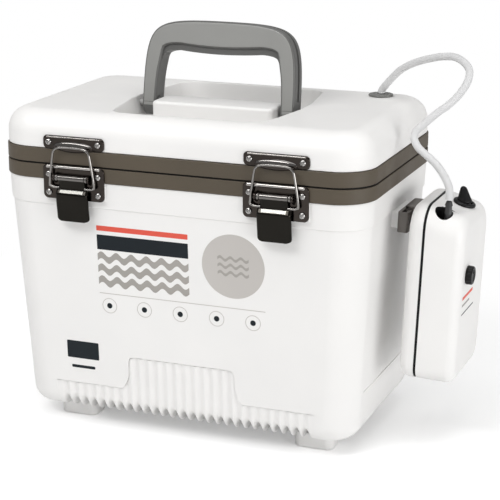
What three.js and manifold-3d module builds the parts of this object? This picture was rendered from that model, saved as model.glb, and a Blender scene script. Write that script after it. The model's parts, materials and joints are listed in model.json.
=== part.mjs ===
import * as THREE from 'three';
import { mergeVertices } from 'three/addons/utils/BufferGeometryUtils.js';
import Module from 'manifold-3d';

const wasm = await Module();
wasm.setup();

// Live bait well: an insulated box on four feet, a hinged lid with a swinging handle,
// two draw latches, and an air pump that hangs on the right wall and feeds an air stone.
// Millimetres. X runs along the front, -Y is the front, +Z is up, z = 0 is the ground.

// Driving sizes of the whole box
const boxLength = 310;
const boxWidth = 195;
const tubHeight = 221.2;
const lidRise = 41.8;
const cornerRadius = 30;
const draft = 0.056;
const seatGap = 0.3;
const overrun = 1;

// Tub walls, floor and trim
const footHeight = 13;
const skin = 3;
const bandHeight = 11.2;
const bandProud = 1;
const bandLeg = 3;
const bandFlange = 2.5;
const rimWidth = 20;
const collarHeight = 20.6;
const collarProud = 1;
const bottomRound = 14;
const linerWall = 2;
const linerFloor = 30;
const linerRound = 8;
const linerFlange = 9;
const gasketHeight = 1.4;
const gasketInset = 0.8;
const gasketWidth = 8;

// Ribs moulded over the lower front
const ribPitch = 8;
const ribWidth = 4.4;
const ribDepth = 1.8;
const ribTipLift = 8;
const ribTipDepth = 12;
const ribFieldHalf = 112;
const lowRibHeight = 16.5;
const highRibHeight = 44.5;
const highRibHalf = 40;
const ribShoulderHalf = 52;

// Feet
const footLength = 33;
const footWidth = 22;
const footCornerRadius = 7;
const footTaper = 1.5;
const footSpacingX = 208;
const footSpacingY = 108;

// Lid
const lidEdgeRound = 18;
const bayDepth = 18;
const bayGap = 3.4;
const bayEndGap = 4.6;
const bayTaper = 9.5;
const bayShoulder = 13;
const bayFlare = 3;
const blockGap = 2.4;
const blockFront = 21.5;
const blockRear = 9;
const plugDepth = 9;
const plugGap = 1.8;

// Handle
const pivotDrop = 6;
const handleHalf = 66.1;
const handleRise = 68.4;
const handleLean = 8.5;
const gripHeight = 23.9;
const gripSag = 1.8;
const legWidth = 11.7;
const handleThickness = 19;
const handleBevel = 2;
const innerCornerInset = 8.3;
const hubRadius = 6.5;
const handlePinRadius = 3;
const handlePinLength = 30;
const grooveWidth = 4;
const grooveDepth = 1.6;

// Draw latches
const latchSpacing = 169;
const plateThickness = 1.5;
const plateRound = 4;
const baseWidth = 53;
const baseHeight = 26;
const baseDrop = 0.2;
const rollRadius = 1.5;
const keeperLift = 0.5;
const keeperHeight = 10.5;
const lipProud = 3.25;
const lipReach = 3.6;
const latchShoulder = 12.75;
const leverLength = 34;
const leverPlate = 1.3;
const leverPinDrop = 8;
const leverPinOut = 4.8;
const leverPinRadius = 1.2;
const leverKnuckle = 2.5;
const earThickness = 1.5;
const earGap = 0.45;
const earRadius = 3;
const bailWire = 2.4;
const bailDrop = 7.8;
const bailTuck = 0.4;
const bailLift = 2.1;
const bailTopProud = 1.75;
const bailFootProud = 5.45;
const screwHeadRadius = 2.6;
const screwHeadHeight = 1.5;
const screwRadius = 1.5;
const screwBite = 2.2;
const screwInset = 5.2;

// Rear hinges
const hingeSpacing = 169;
const hingeOut = 4.5;
const knuckleRadius = 4;
const knuckleWidth = 10;
const hingePinRadius = 1.5;
const hingeArmHeight = 8;

// Air pump and its hanger
const pumpWidth = 81;
const pumpHeight = 141;
const pumpDepth = 44.8;
const pumpWall = 2.5;
const pumpSeam = 12.2;
const pumpSeal = 1.6;
const pumpTopRound = 18;
const pumpBottomRound = 12;
const pumpTopFall = 8;
const pumpLean = 2.5;
const pumpBackX = 165.2;
const pumpHang = 161.9;
const hangerHalf = 25;
const hangerWall = 2.5;
const hangerChannel = 3.6;
const hangerStandOff = 4.1;
const hangerBottom = 114.5;
const hangerHeight = 16;
const hangerScrewSpacing = 37;
const bossHalf = 19;
const clipHalf = 13;
const clipHeight = 2.5;
const clipReach = 13;
const recessHalf = 66;
const recessDepth = 0.6;
const recessHeight = 90;
const recessDrop = 80.2;
const cellRadius = 16.6;
const cellLength = 60;
const cellSpacing = 34.4;
const cellBottom = 8;
const cellNubRadius = 4.5;
const cellNubHeight = 1.5;
const contactPlate = 0.8;
const motorRadius = 11;
const motorLength = 27;
const motorBottom = 76;
const pumpHeadWidth = 30;
const pumpHeadDepth = 22;
const pumpHeadHeight = 20;
const cradleDepth = 8;
const knobRadius = 7.5;
const knobHeight = 5;
const knobY = -20.4;
const knobZ = 87;
const knobShaftRadius = 2;
const nippleX = 28.2;
const nippleY = -28.5;
const nippleTop = 146;
const notchX = 25;
const notchRadius = 7;
const notchFloor = 126;
const nippleRadius = 2.6;
const switchX = 32.2;
const switchY = 5;
const switchCollarRadius = 9;
const switchCollarHeight = 2.4;
const bootRadius = 6;
const bootHeight = 15;
const bootLift = 1.5;
const bootPlay = 0.4;
const bootThrow = 12;
const bootLean = 0.18;

// Air line
const hoseRadius = 3;
const hoseSides = 8;
const grommetX = 115;
const grommetY = 67;
const grommetRadius = 10.25;
const grommetHeight = 1.6;
const grommetTube = 5;
const grommetGrip = 8;
const stoneRadius = 7;
const stoneLength = 28;
const stoneEdge = 1;
const stoneX = -24;
const stoneY = 46;
const routeTubHeight = 221.2;

// Facets
const cornerSteps = 4;
const roundSteps = 4;
const rodSides = 12;
const turnSides = 16;
const screwSides = 8;
const wireSides = 6;

// Heights that follow from the driving sizes
const lidTop = tubHeight + lidRise;
const pivotHeight = lidTop - pivotDrop;
const pumpBottom = tubHeight - pumpHang;
const bayHalfAtPivot = handleHalf + bayGap;
const bayHalfAtEnd = bayHalfAtPivot - bayTaper;
const bayReach = handleRise + bayEndGap;
const legInner = handleHalf - legWidth;
const blockHalf = legInner - blockGap;
const innerCornerX = legInner - innerCornerInset;
const recessTop = tubHeight - recessDrop;
const recessBottom = recessTop - recessHeight;
const seam = tubHeight + seatGap + gasketHeight / 2;
const lidBandBottom = tubHeight + gasketHeight + 2 * seatGap;
const lidBandTop = lidBandBottom + bandHeight;
const bandBottom = tubHeight - bandHeight;
const collarBottom = bandBottom - collarHeight;
const halfLength = boxLength / 2;
const halfWidth = boxWidth / 2;
const frontFace = -halfWidth;
const lidInset = bandProud;
const lidRoundStart = lidTop - lidEdgeRound;
const bayFloor = lidTop - bayDepth;
const legInset = bandLeg + seatGap;

// Latch sizes that follow from the plates and the bands
const baseTop = tubHeight - baseDrop;
const baseBottom = baseTop - baseHeight;
const keeperBottom = lidBandTop + keeperLift;
const leverPinHeight = baseTop - leverPinDrop;
const leverBottom = leverPinHeight - leverLength;
const leverWidth = baseWidth - 2 * latchShoulder;
const lipHalf = leverWidth / 2 + lipProud;
const bailTop = keeperBottom + bailLift;
const bailTopHalf = leverWidth / 2 + bailTopProud;
const bailFootHalf = leverWidth / 2 + bailFootProud;

// Axes of the world, and the turn that lays a Z loft along X
const axisX = new THREE.Vector3(1, 0, 0);
const axisY = new THREE.Vector3(0, 1, 0);
const axisZ = new THREE.Vector3(0, 0, 1);
const layAlongX = new THREE.Matrix4().makeBasis(axisY, axisZ, axisX);

// Materials
const paint = (color, roughness, metalness = 0) =>
  new THREE.MeshStandardMaterial({ color, roughness, metalness });
const white = paint(0xeeecea, 0.42);
const linerWhite = paint(0xf2f1ee, 0.35);
const taupe = paint(0x6e6558, 0.5);
const foam = paint(0xe9dfc0, 0.9);
const rubber = paint(0x1b1b1b, 0.75);
const handleGrey = paint(0x8f918e, 0.5);
const darkChrome = paint(0x3a3836, 0.22, 1);
const steel = paint(0xb9bcbd, 0.3, 1);
const blackPlastic = paint(0x202020, 0.45);
const clearHose = paint(0xd9dbda, 0.3);
const stoneBlue = paint(0x8fa3b0, 0.95);
const cellWrap = paint(0xb08b3c, 0.35);
const copper = paint(0xc9a063, 0.35, 1);

// A closed mesh as a solid that can be joined and cut
function solid(geometry) {
  const bare = geometry.clone();
  bare.deleteAttribute('normal');
  bare.deleteAttribute('uv');
  const merged = mergeVertices(bare, 1e-4);
  const corners = merged.index.array;
  const kept = [];
  for (let i = 0; i < corners.length; i += 3) {
    const [a, b, c] = [corners[i], corners[i + 1], corners[i + 2]];
    if (a !== b && b !== c && a !== c) kept.push(a, b, c);
  }
  return new wasm.Manifold(new wasm.Mesh({
    numProp: 3,
    vertProperties: new Float32Array(merged.attributes.position.array),
    triVerts: new Uint32Array(kept),
  }));
}

// A solid back as a mesh's geometry
function geometryOf(body) {
  const cut = body.getMesh();
  const geometry = new THREE.BufferGeometry();
  geometry.setAttribute('position', new THREE.BufferAttribute(cut.vertProperties, 3));
  geometry.setIndex(new THREE.BufferAttribute(cut.triVerts, 1));
  geometry.computeVertexNormals();
  return geometry;
}

function joined(...bodies) {
  return bodies.reduce((whole, body) => whole.add(body));
}

function less(body, ...cuts) {
  return cuts.reduce((whole, cut) => whole.subtract(cut), body);
}

// Points of a convex outline, anticlockwise, whose corners are [x, y, radius]
function roundedOutline(corners, steps = cornerSteps) {
  return corners.flatMap(([x, y, radius], index) => {
    const here = new THREE.Vector2(x, y);
    const [beforeX, beforeY] = corners.at(index - 1);
    const [afterX, afterY] = corners[(index + 1) % corners.length];
    const toBefore = new THREE.Vector2(beforeX, beforeY).sub(here).normalize();
    const toAfter = new THREE.Vector2(afterX, afterY).sub(here).normalize();
    const half = Math.acos(toBefore.dot(toAfter)) / 2;
    const inward = toBefore.clone().add(toAfter).normalize();
    const centre = here.clone().addScaledVector(inward, radius / Math.sin(half));
    const start = here.clone().addScaledVector(toBefore, radius / Math.tan(half)).sub(centre);
    const sweep = Math.PI - 2 * half;
    return Array.from({ length: steps + 1 }, (_, step) =>
      start.clone().rotateAround(new THREE.Vector2(), (sweep * step) / steps).add(centre));
  });
}

function rectangle(left, right, low, high, radius, steps = cornerSteps) {
  return roundedOutline([
    [right, high, radius], [left, high, radius], [left, low, radius], [right, low, radius],
  ], steps);
}

// The box's outline drawn in by an inset
function boxOutline(inset, radius = Math.max(cornerRadius - inset, linerRound)) {
  return rectangle(-halfLength + inset, halfLength - inset,
    -halfWidth + inset, halfWidth - inset, radius);
}

// Joins outlines of equal counts, each at its own height, into one closed surface
function loft(layers, closed = false) {
  const count = layers[0].outline.length;
  const positions = layers.flatMap(({ outline, at }) =>
    outline.flatMap((point) => [point.x, point.y, at]));
  const faces = [];
  const last = layers.length - 1;
  for (let layer = 0; layer < (closed ? last + 1 : last); layer += 1) {
    const above = (layer + 1) % layers.length;
    for (let side = 0; side < count; side += 1) {
      const next = (side + 1) % count;
      const [a, b] = [layer * count + side, layer * count + next];
      const [c, d] = [above * count + next, above * count + side];
      faces.push(a, b, c, a, c, d);
    }
  }
  for (let side = 1; !closed && side < count - 1; side += 1) {
    faces.push(0, side + 1, side);
    faces.push(last * count, last * count + side, last * count + side + 1);
  }
  const geometry = new THREE.BufferGeometry();
  geometry.setAttribute('position', new THREE.Float32BufferAttribute(positions, 3));
  geometry.setIndex(faces);
  geometry.computeVertexNormals();
  return geometry;
}

const at = (height, outline) => ({ outline, at: height });

// Prisms of an outline along each axis
function prismZ(points, bottom, top, bevel = 0) {
  const geometry = new THREE.ExtrudeGeometry(new THREE.Shape(points), {
    depth: top - bottom - 2 * bevel,
    bevelEnabled: bevel > 0,
    bevelSize: bevel,
    bevelThickness: bevel,
    bevelOffset: -bevel,
    bevelSegments: 2,
  });
  return geometry.translate(0, 0, bottom + bevel);
}

function prismX(points, left, right, bevel = 0) {
  return prismZ(points, left, right, bevel).applyMatrix4(layAlongX);
}

// The outline is drawn in X and Z, and the prism runs from the front to the back
function prismY(points, front, back, bevel = 0) {
  return prismZ(points, -back, -front, bevel).rotateX(Math.PI / 2);
}

// Rods along each axis
function rodX(radius, left, right, y, z, sides = rodSides) {
  return new THREE.CylinderGeometry(radius, radius, right - left, sides)
    .rotateZ(-Math.PI / 2).translate((left + right) / 2, y, z);
}

function rodZ(radius, bottom, top, x, y, sides = rodSides) {
  return new THREE.CylinderGeometry(radius, radius, top - bottom, sides)
    .rotateX(Math.PI / 2).translate(x, y, (bottom + top) / 2);
}

function rodY(radius, front, back, x, z, sides = rodSides) {
  return new THREE.CylinderGeometry(radius, radius, back - front, sides)
    .translate(x, (front + back) / 2, z);
}

// A profile of [radius, height] turned round Z
function turned(profile, sides = rodSides) {
  return new THREE.LatheGeometry(profile.map(([r, h]) => new THREE.Vector2(r, h)), sides)
    .rotateX(Math.PI / 2);
}

// A tube of even steps along a route
function tube(route, radius, sides, stepLength) {
  const curve = new THREE.CatmullRomCurve3(route.map((point) => new THREE.Vector3(...point)));
  const section = Array.from({ length: sides }, (_, side) => {
    const angle = (2 * Math.PI * side) / sides;
    return new THREE.Vector2(Math.cos(angle) * radius, Math.sin(angle) * radius);
  });
  return new THREE.ExtrudeGeometry(new THREE.Shape(section), {
    steps: Math.round(curve.getLength() / stepLength),
    extrudePath: curve,
  });
}

// Tub

// How far the outer wall lies inside the band's face at a height
function wallInset(height) {
  const step = height < collarBottom ? collarProud : 0;
  return bandProud + step + draft * (bandBottom - height);
}

function linerInset(height) {
  return rimWidth + draft * (tubHeight - bandFlange - height);
}

const tubFloor = footHeight;
const skinTop = tubHeight - bandFlange - seatGap;
const linerFlangeTop = skinTop;
const stepHeight = 0.8;

// Outlines of the rounded bottom edge, drawn in by an offset
function bottomLayers(offset) {
  const round = bottomRound - offset;
  return Array.from({ length: roundSteps }, (_, step) => {
    const angle = (Math.PI / 2) * (step / (roundSteps - 1));
    const height = tubFloor + bottomRound - round * Math.cos(angle);
    const inset = wallInset(tubFloor + bottomRound) + offset + round * (1 - Math.sin(angle));
    return at(height, boxOutline(inset, cornerRadius - inset + bottomRound / 2));
  });
}

// The ribbed field on the lower front, drawn in X and Z
function ribField() {
  const low = tubFloor + ribTipLift;
  const field = new THREE.Shape();
  const shoulder = low + lowRibHeight;
  const top = low + highRibHeight;
  const bend = (highRibHeight - lowRibHeight) / 2;
  field.moveTo(-ribFieldHalf, low);
  field.lineTo(ribFieldHalf, low);
  field.lineTo(ribFieldHalf, shoulder);
  field.lineTo(ribShoulderHalf, shoulder);
  field.bezierCurveTo(highRibHalf, shoulder + bend, ribShoulderHalf, top, highRibHalf, top);
  field.lineTo(-highRibHalf, top);
  field.bezierCurveTo(-ribShoulderHalf, top, -highRibHalf, shoulder + bend,
    -ribShoulderHalf, shoulder);
  field.lineTo(-ribFieldHalf, shoulder);
  return field.getPoints(cornerSteps);
}

// The front wall's face leans by the draft, and so do the ribs on it
function leanWithFront(geometry) {
  const lean = new THREE.Matrix4().set(
    1, 0, 0, 0,
    0, 1, -draft, draft * bandBottom,
    0, 0, 1, 0,
    0, 0, 0, 1);
  return geometry.applyMatrix4(lean);
}

function ribs() {
  const face = frontFace + bandProud + collarProud;
  const profile = new THREE.Shape();
  const side = ribWidth / 2;
  profile.moveTo(-side, ribTipDepth);
  profile.lineTo(side, ribTipDepth);
  profile.lineTo(side, ribDepth);
  profile.quadraticCurveTo(side / 2, 0, 0, 0);
  profile.quadraticCurveTo(-side / 2, 0, -side, ribDepth);
  const points = profile.getPoints(2);
  const count = Math.floor(ribFieldHalf / ribPitch);
  const top = tubFloor + ribTipLift + highRibHeight;
  const bars = Array.from({ length: 2 * count + 1 }, (_, index) => {
    const bar = prismZ(points, tubFloor, top + overrun);
    return solid(leanWithFront(bar.translate((index - count) * ribPitch, face, 0)));
  });
  const field = prismY(ribField(), face - overrun, face + ribTipDepth);
  return joined(...bars).intersect(solid(leanWithFront(field)));
}

function ribPocket() {
  const face = frontFace + bandProud + collarProud;
  return solid(leanWithFront(prismY(ribField(), face - overrun, face + ribDepth)));
}

// Pads behind the latch plates bring the collar out to the band's face
function latchPads() {
  const pads = [-1, 1].map((side) => {
    const centre = side * latchSpacing / 2;
    const outline = rectangle(centre - baseWidth / 2, centre + baseWidth / 2,
      baseBottom, bandBottom, plateRound / 2, 2);
    return solid(prismY(outline, frontFace, frontFace + skin));
  });
  return joined(...pads);
}

// A shallow panel in the right wall, behind the pump
function sidePanel() {
  const face = (height) => halfLength - wallInset(height);
  const section = [
    new THREE.Vector2(face(recessBottom) - recessDepth, recessBottom),
    new THREE.Vector2(face(recessBottom) + overrun, recessBottom),
    new THREE.Vector2(face(recessTop) + overrun, recessTop),
    new THREE.Vector2(face(recessTop) - recessDepth, recessTop),
  ];
  return solid(prismY(section, -recessHalf, recessHalf));
}

function shellForm() {
  return solid(loft([
    ...bottomLayers(0),
    at(collarBottom - stepHeight, boxOutline(wallInset(collarBottom - stepHeight))),
    at(collarBottom, boxOutline(wallInset(collarBottom))),
    at(bandBottom - seatGap, boxOutline(bandProud)),
    at(bandBottom - seatGap, boxOutline(legInset)),
    at(skinTop, boxOutline(legInset)),
  ]));
}

function shellHollow() {
  return solid(loft([
    ...bottomLayers(skin),
    at(collarBottom, boxOutline(legInset + skin)),
    at(skinTop + overrun, boxOutline(legInset + skin)),
  ]));
}

function tubShell() {
  const form = joined(less(shellForm(), ribPocket(), sidePanel()), ribs(), latchPads(),
    hangerBoss());
  return less(form, shellHollow(), ...latchScrewHoles(), ...hangerScrewHoles());
}

function tubFoam() {
  const clear = skin + seatGap;
  const outer = [
    ...bottomLayers(clear),
    at(collarBottom, boxOutline(legInset + clear)),
    at(linerFlangeTop - linerWall - seatGap, boxOutline(legInset + clear)),
  ];
  const wall = (height) => boxOutline(linerInset(height) - linerWall - seatGap);
  const top = linerFlangeTop - linerWall - seatGap;
  const floor = linerFloor - linerWall - seatGap;
  return loft([
    ...outer,
    at(top, wall(top)),
    at(floor + linerRound, wall(floor + linerRound)),
    at(floor, boxOutline(linerInset(floor) + linerRound - linerWall)),
  ]);
}

function tubLiner() {
  const wall = (height, offset = 0) => boxOutline(linerInset(height) - offset);
  const underFlange = linerFlangeTop - linerWall;
  const low = linerFloor + linerRound;
  return loft([
    at(linerFloor - linerWall, boxOutline(linerInset(linerFloor) + linerRound - linerWall)),
    at(low - linerWall, wall(low - linerWall, linerWall)),
    at(underFlange, wall(underFlange, linerWall)),
    at(underFlange, boxOutline(rimWidth - linerFlange)),
    at(linerFlangeTop, boxOutline(rimWidth - linerFlange)),
    at(linerFlangeTop, wall(linerFlangeTop)),
    at(low, wall(low)),
    at(linerFloor, boxOutline(linerInset(linerFloor) + linerRound)),
  ]);
}

// A band has a leg down the outside and a flange over the wall. Its leg runs away from the seam
function rimBand(seamSide, legEnd) {
  const away = Math.sign(legEnd - seamSide);
  const flange = seamSide + away * bandFlange;
  const softened = bandProud / 2;
  const layers = [
    at(legEnd, boxOutline(bandLeg)),
    at(legEnd, boxOutline(softened)),
    at(legEnd - away * softened, boxOutline(0)),
    at(seamSide + away * softened, boxOutline(0)),
    at(seamSide, boxOutline(softened)),
    at(seamSide, boxOutline(rimWidth)),
    at(flange, boxOutline(rimWidth)),
    at(flange, boxOutline(bandLeg)),
  ];
  return solid(loft(away < 0 ? layers : layers.reverse(), true));
}

// Hinges: two knuckles on the tub outside one on the lid, at two places along the rear

const hingeY = halfWidth + hingeOut;

// A knuckle: a barrel on the pin, and a web back to its band
function knuckle(centre, width, away) {
  const barrel = rodX(knuckleRadius, centre - width / 2, centre + width / 2, hingeY, seam);
  const root = halfWidth - bandLeg / 2;
  const near = seam + away * (gasketHeight / 2 + seatGap + bandProud);
  const far = seam + away * (gasketHeight / 2 + hingeArmHeight);
  const web = [
    new THREE.Vector2(root, near),
    new THREE.Vector2(hingeY, near),
    new THREE.Vector2(hingeY + knuckleRadius * Math.cos(Math.PI / 6), seam + away * knuckleRadius / 2),
    new THREE.Vector2(root, far),
  ];
  return joined(solid(barrel), solid(prismX(web, centre - width / 2, centre + width / 2)));
}

function hingeBore(centre, extra) {
  const reach = 1.5 * knuckleWidth + 2 * seatGap + extra;
  return solid(rodX(hingePinRadius + seatGap, centre - reach, centre + reach, hingeY, seam));
}

const hingePlaces = [-hingeSpacing / 2, hingeSpacing / 2];

function tubBand() {
  const band = rimBand(tubHeight, bandBottom);
  const step = knuckleWidth + seatGap;
  const knuckles = hingePlaces.flatMap((x) =>
    [knuckle(x - step, knuckleWidth, -1), knuckle(x + step, knuckleWidth, -1)]);
  return less(joined(band, ...knuckles), ...hingePlaces.map((x) => hingeBore(x, overrun)),
    ...latchScrewHoles());
}

function lidBand() {
  const band = rimBand(lidBandBottom, lidBandTop);
  const knuckles = hingePlaces.map((x) => knuckle(x, knuckleWidth, 1));
  return less(joined(band, ...knuckles), ...hingePlaces.map((x) => hingeBore(x, overrun)));
}

function foot(x, y) {
  const outline = (grow) => rectangle(x - footLength / 2 - grow, x + footLength / 2 + grow,
    y - footWidth / 2 - grow, y + footWidth / 2 + grow, footCornerRadius, 3);
  return loft([
    at(0, outline(-footTaper)),
    at(footTaper, outline(0)),
    at(footHeight - seatGap, outline(0)),
  ]);
}

// Lid

// The bay's outline, grown by an offset on all sides
function bayOutline(grow) {
  const [end, side] = [bayReach + grow, bayHalfAtPivot + grow];
  const tip = bayHalfAtEnd + grow;
  const round = bayShoulder + grow;
  return roundedOutline([
    [side, bayShoulder, bayShoulder], [tip, end, round], [-tip, end, round],
    [-side, bayShoulder, bayShoulder], [-side, -bayShoulder, bayShoulder],
    [-tip, -end, round], [tip, -end, round], [side, -bayShoulder, bayShoulder],
  ], 2);
}

// The hollow in the lid's top that the handle folds into
function bay(offset) {
  return solid(loft([
    at(bayFloor - offset, bayOutline(offset - bayFlare)),
    at(bayFloor - offset + bayFlare, bayOutline(offset)),
    at(lidTop, bayOutline(offset + bayFlare)),
    at(lidTop + overrun, bayOutline(offset + bayFlare)),
  ]));
}

// The block between the handle's legs
function block(offset) {
  const outline = (inset) => rectangle(-blockHalf + inset, blockHalf - inset,
    -blockFront + inset, blockRear - inset, plateRound, 2);
  return solid(loft([
    at(bayFloor - offset - overrun, outline(offset)),
    at(lidTop - offset - bayFlare, outline(offset)),
    at(lidTop - offset, outline(offset + bandProud)),
  ]));
}

// The lid's outer form, drawn in by an offset, from a bottom height up
function lidForm(offset, bottom, lowInset) {
  const round = lidEdgeRound - offset;
  const steps = roundSteps - 1;
  const layers = Array.from({ length: steps + 1 }, (_, step) => {
    const angle = (Math.PI / 2) * (step / steps);
    const inset = lidInset + offset + round * (1 - Math.cos(angle));
    return at(lidRoundStart + round * Math.sin(angle), boxOutline(inset));
  });
  const low = lidBandTop + seatGap + (offset > 0 ? offset : 0);
  const body = solid(loft([
    at(bottom, boxOutline(lowInset)),
    at(low, boxOutline(lowInset)),
    at(low, boxOutline(lidInset + offset)),
    ...layers,
  ]));
  return joined(less(body, bay(offset)), block(offset));
}

const lidSkirtBottom = lidBandBottom + bandFlange + seatGap;

function lidShell() {
  const outer = lidForm(0, lidSkirtBottom, legInset);
  const inner = lidForm(skin, lidSkirtBottom - overrun, legInset + skin);
  return less(outer, inner, grommetHole(), ...handlePinHoles(), ...keeperScrewHoles());
}

const lidLinerFlange = lidSkirtBottom + linerWall;
const plugBottom = tubHeight - plugDepth;

function lidLiner() {
  const plug = rimWidth + plugGap;
  const tray = solid(loft([
    at(plugBottom, boxOutline(plug + linerWall)),
    at(plugBottom + linerWall, boxOutline(plug)),
    at(lidSkirtBottom, boxOutline(plug)),
    at(lidSkirtBottom, boxOutline(legInset + skin + seatGap)),
    at(lidLinerFlange, boxOutline(legInset + skin + seatGap)),
    at(lidLinerFlange, boxOutline(plug + linerWall)),
    at(plugBottom + linerWall, boxOutline(plug + linerWall)),
  ]));
  return less(tray, grommetHole());
}

function lidFoam() {
  const clear = skin + seatGap;
  const plug = rimWidth + plugGap + linerWall + seatGap;
  const upper = lidForm(clear, lidLinerFlange + seatGap, legInset + clear);
  const lower = solid(loft([
    at(plugBottom + linerWall + seatGap, boxOutline(plug)),
    at(lidLinerFlange + linerWall, boxOutline(plug)),
  ]));
  return less(joined(upper, lower), grommetHole(), ...handlePinHoles());
}

function lidGasket() {
  const low = tubHeight + seatGap;
  const high = low + gasketHeight;
  return loft([
    at(low, boxOutline(gasketInset)),
    at(high, boxOutline(gasketInset)),
    at(high, boxOutline(gasketInset + gasketWidth)),
    at(low, boxOutline(gasketInset + gasketWidth)),
  ], true);
}

// Handle

// Half of the handle's outer side, as a curve from the pivot up to the crown
function handleOutline(inset) {
  const half = handleHalf - inset;
  const rise = handleRise - inset;
  const shoulderShare = 1.2;
  const crownShare = 0.79;
  const outline = new THREE.Shape();
  outline.moveTo(half, -handleThickness);
  outline.lineTo(half, 0);
  outline.bezierCurveTo(half, rise * shoulderShare, half * crownShare, rise, 0, rise);
  outline.bezierCurveTo(-half * crownShare, rise, -half, rise * shoulderShare, -half, 0);
  outline.lineTo(-half, -handleThickness);
  return outline;
}

function handleWindow() {
  const low = handleRise - gripHeight - gripSag;
  const high = handleRise - gripHeight;
  const corner = legWidth;
  const outline = new THREE.Shape();
  outline.moveTo(-legInner, -2 * handleThickness);
  outline.lineTo(legInner, -2 * handleThickness);
  outline.lineTo(legInner, 0);
  outline.quadraticCurveTo(legInner, high - corner, innerCornerX + corner / 4, high - corner / 4);
  outline.quadraticCurveTo(innerCornerX, high, innerCornerX - corner, high);
  outline.quadraticCurveTo(0, low - gripSag, corner - innerCornerX, high);
  outline.quadraticCurveTo(-innerCornerX, high, -innerCornerX - corner / 4, high - corner / 4);
  outline.quadraticCurveTo(-legInner, high - corner, -legInner, 0);
  return outline;
}

// The handle seen from its side: round at the pivot, straight up to the grip
function handleSide() {
  const half = handleThickness / 2;
  const outline = new THREE.Shape();
  outline.moveTo(half, 0);
  outline.lineTo(half, handleRise + overrun);
  outline.lineTo(-half, handleRise + overrun);
  outline.lineTo(-half, 0);
  outline.absarc(0, 0, half, Math.PI, 2 * Math.PI, false);
  return outline.getPoints(cornerSteps);
}

// It stands leaning back a little, as the photograph shows it
function handle() {
  const half = handleThickness / 2;
  const lean = THREE.MathUtils.degToRad(handleLean);
  const raise = (geometry) => solid(geometry.rotateX(-lean).translate(0, 0, pivotHeight));
  const outer = raise(prismY(handleOutline(0).getPoints(8), -half, half, handleBevel));
  const window = raise(prismY(handleWindow().getPoints(5), -handleThickness, handleThickness));
  const side = raise(prismX(handleSide(), -handleHalf - overrun, handleHalf + overrun));
  const rim = raise(prismY(handleOutline(-handleThickness).getPoints(8), -grooveWidth / 2,
    grooveWidth / 2));
  const core = raise(prismY(handleOutline(grooveDepth).getPoints(8), -handleThickness,
    handleThickness));
  const above = raise(rodX(half + handleBevel, -handleHalf - overrun, handleHalf + overrun, 0, 0));
  const groove = less(rim, core, above);
  const hubs = [-1, 1].map((way) => raise(rodX(hubRadius,
    Math.min(way * (blockHalf + overrun), way * (legInner + overrun)),
    Math.max(way * (blockHalf + overrun), way * (legInner + overrun)), 0, 0)));
  const bore = raise(rodX(handlePinRadius + seatGap, -2 * handleHalf, 2 * handleHalf, 0, 0));
  return less(joined(less(outer.intersect(side), window, groove), ...hubs), bore);
}

// Pins from the block through the handle's legs into the lid
const handlePinInner = blockHalf - 2 * handlePinRadius;

function handlePinHoles() {
  return [-1, 1].map((way) => {
    const ends = [way * (handlePinInner - seatGap), way * (handlePinInner + handlePinLength + seatGap)];
    return solid(rodX(handlePinRadius + seatGap, Math.min(...ends), Math.max(...ends), 0, pivotHeight));
  });
}

function handlePin(way) {
  const ends = [way * handlePinInner, way * (handlePinInner + handlePinLength)];
  return rodX(handlePinRadius, Math.min(...ends), Math.max(...ends), 0, pivotHeight);
}

// Latches. Distances out are measured forward from the bands' face

const out = (distance) => frontFace - distance;
const plateBack = seatGap;
const plateFront = plateBack + plateThickness;
const keeperBack = seatGap - lidInset;
const keeperFront = keeperBack + plateThickness;
const latchPlaces = { left: -latchSpacing / 2, right: latchSpacing / 2 };

// Where each plate's screws go, in X from its centre and Z
const upperScrewZ = baseTop - 2 * rollRadius - screwHeadRadius - 2 * seatGap;
const baseScrews = {
  lower_left: [screwInset - baseWidth / 2, baseBottom + screwInset],
  lower_right: [baseWidth / 2 - screwInset, baseBottom + screwInset],
  upper_left: [screwInset - baseWidth / 2, upperScrewZ],
  upper_right: [baseWidth / 2 - screwInset, upperScrewZ],
};
const keeperScrews = {
  left: [screwInset - baseWidth / 2, keeperBottom + keeperHeight / 2],
  right: [baseWidth / 2 - screwInset, keeperBottom + keeperHeight / 2],
};

function screwHole(x, z, from, to) {
  return solid(rodY(screwRadius + seatGap, from, to, x, z, screwSides));
}

function latchScrewHoles() {
  return Object.values(latchPlaces).flatMap((centre) => Object.values(baseScrews).map(([x, z]) =>
    screwHole(centre + x, z, out(plateFront + overrun), out(-screwBite - seatGap))));
}

function keeperScrewHoles() {
  return Object.values(latchPlaces).flatMap((centre) => Object.values(keeperScrews).map(([x, z]) =>
    screwHole(centre + x, z, out(keeperFront + overrun), out(-lidInset - screwBite - seatGap))));
}

// A pan head screw whose head rests on a face and whose shank runs back
function screw(x, z, face, shank) {
  const head = face + seatGap;
  return turned([
    [0, -shank],
    [screwRadius, -shank],
    [screwRadius, 0],
    [screwHeadRadius, 0],
    [screwHeadRadius / 2, screwHeadHeight],
    [0, screwHeadHeight],
  ], screwSides).rotateX(Math.PI / 2).translate(x, out(head), z);
}

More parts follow.
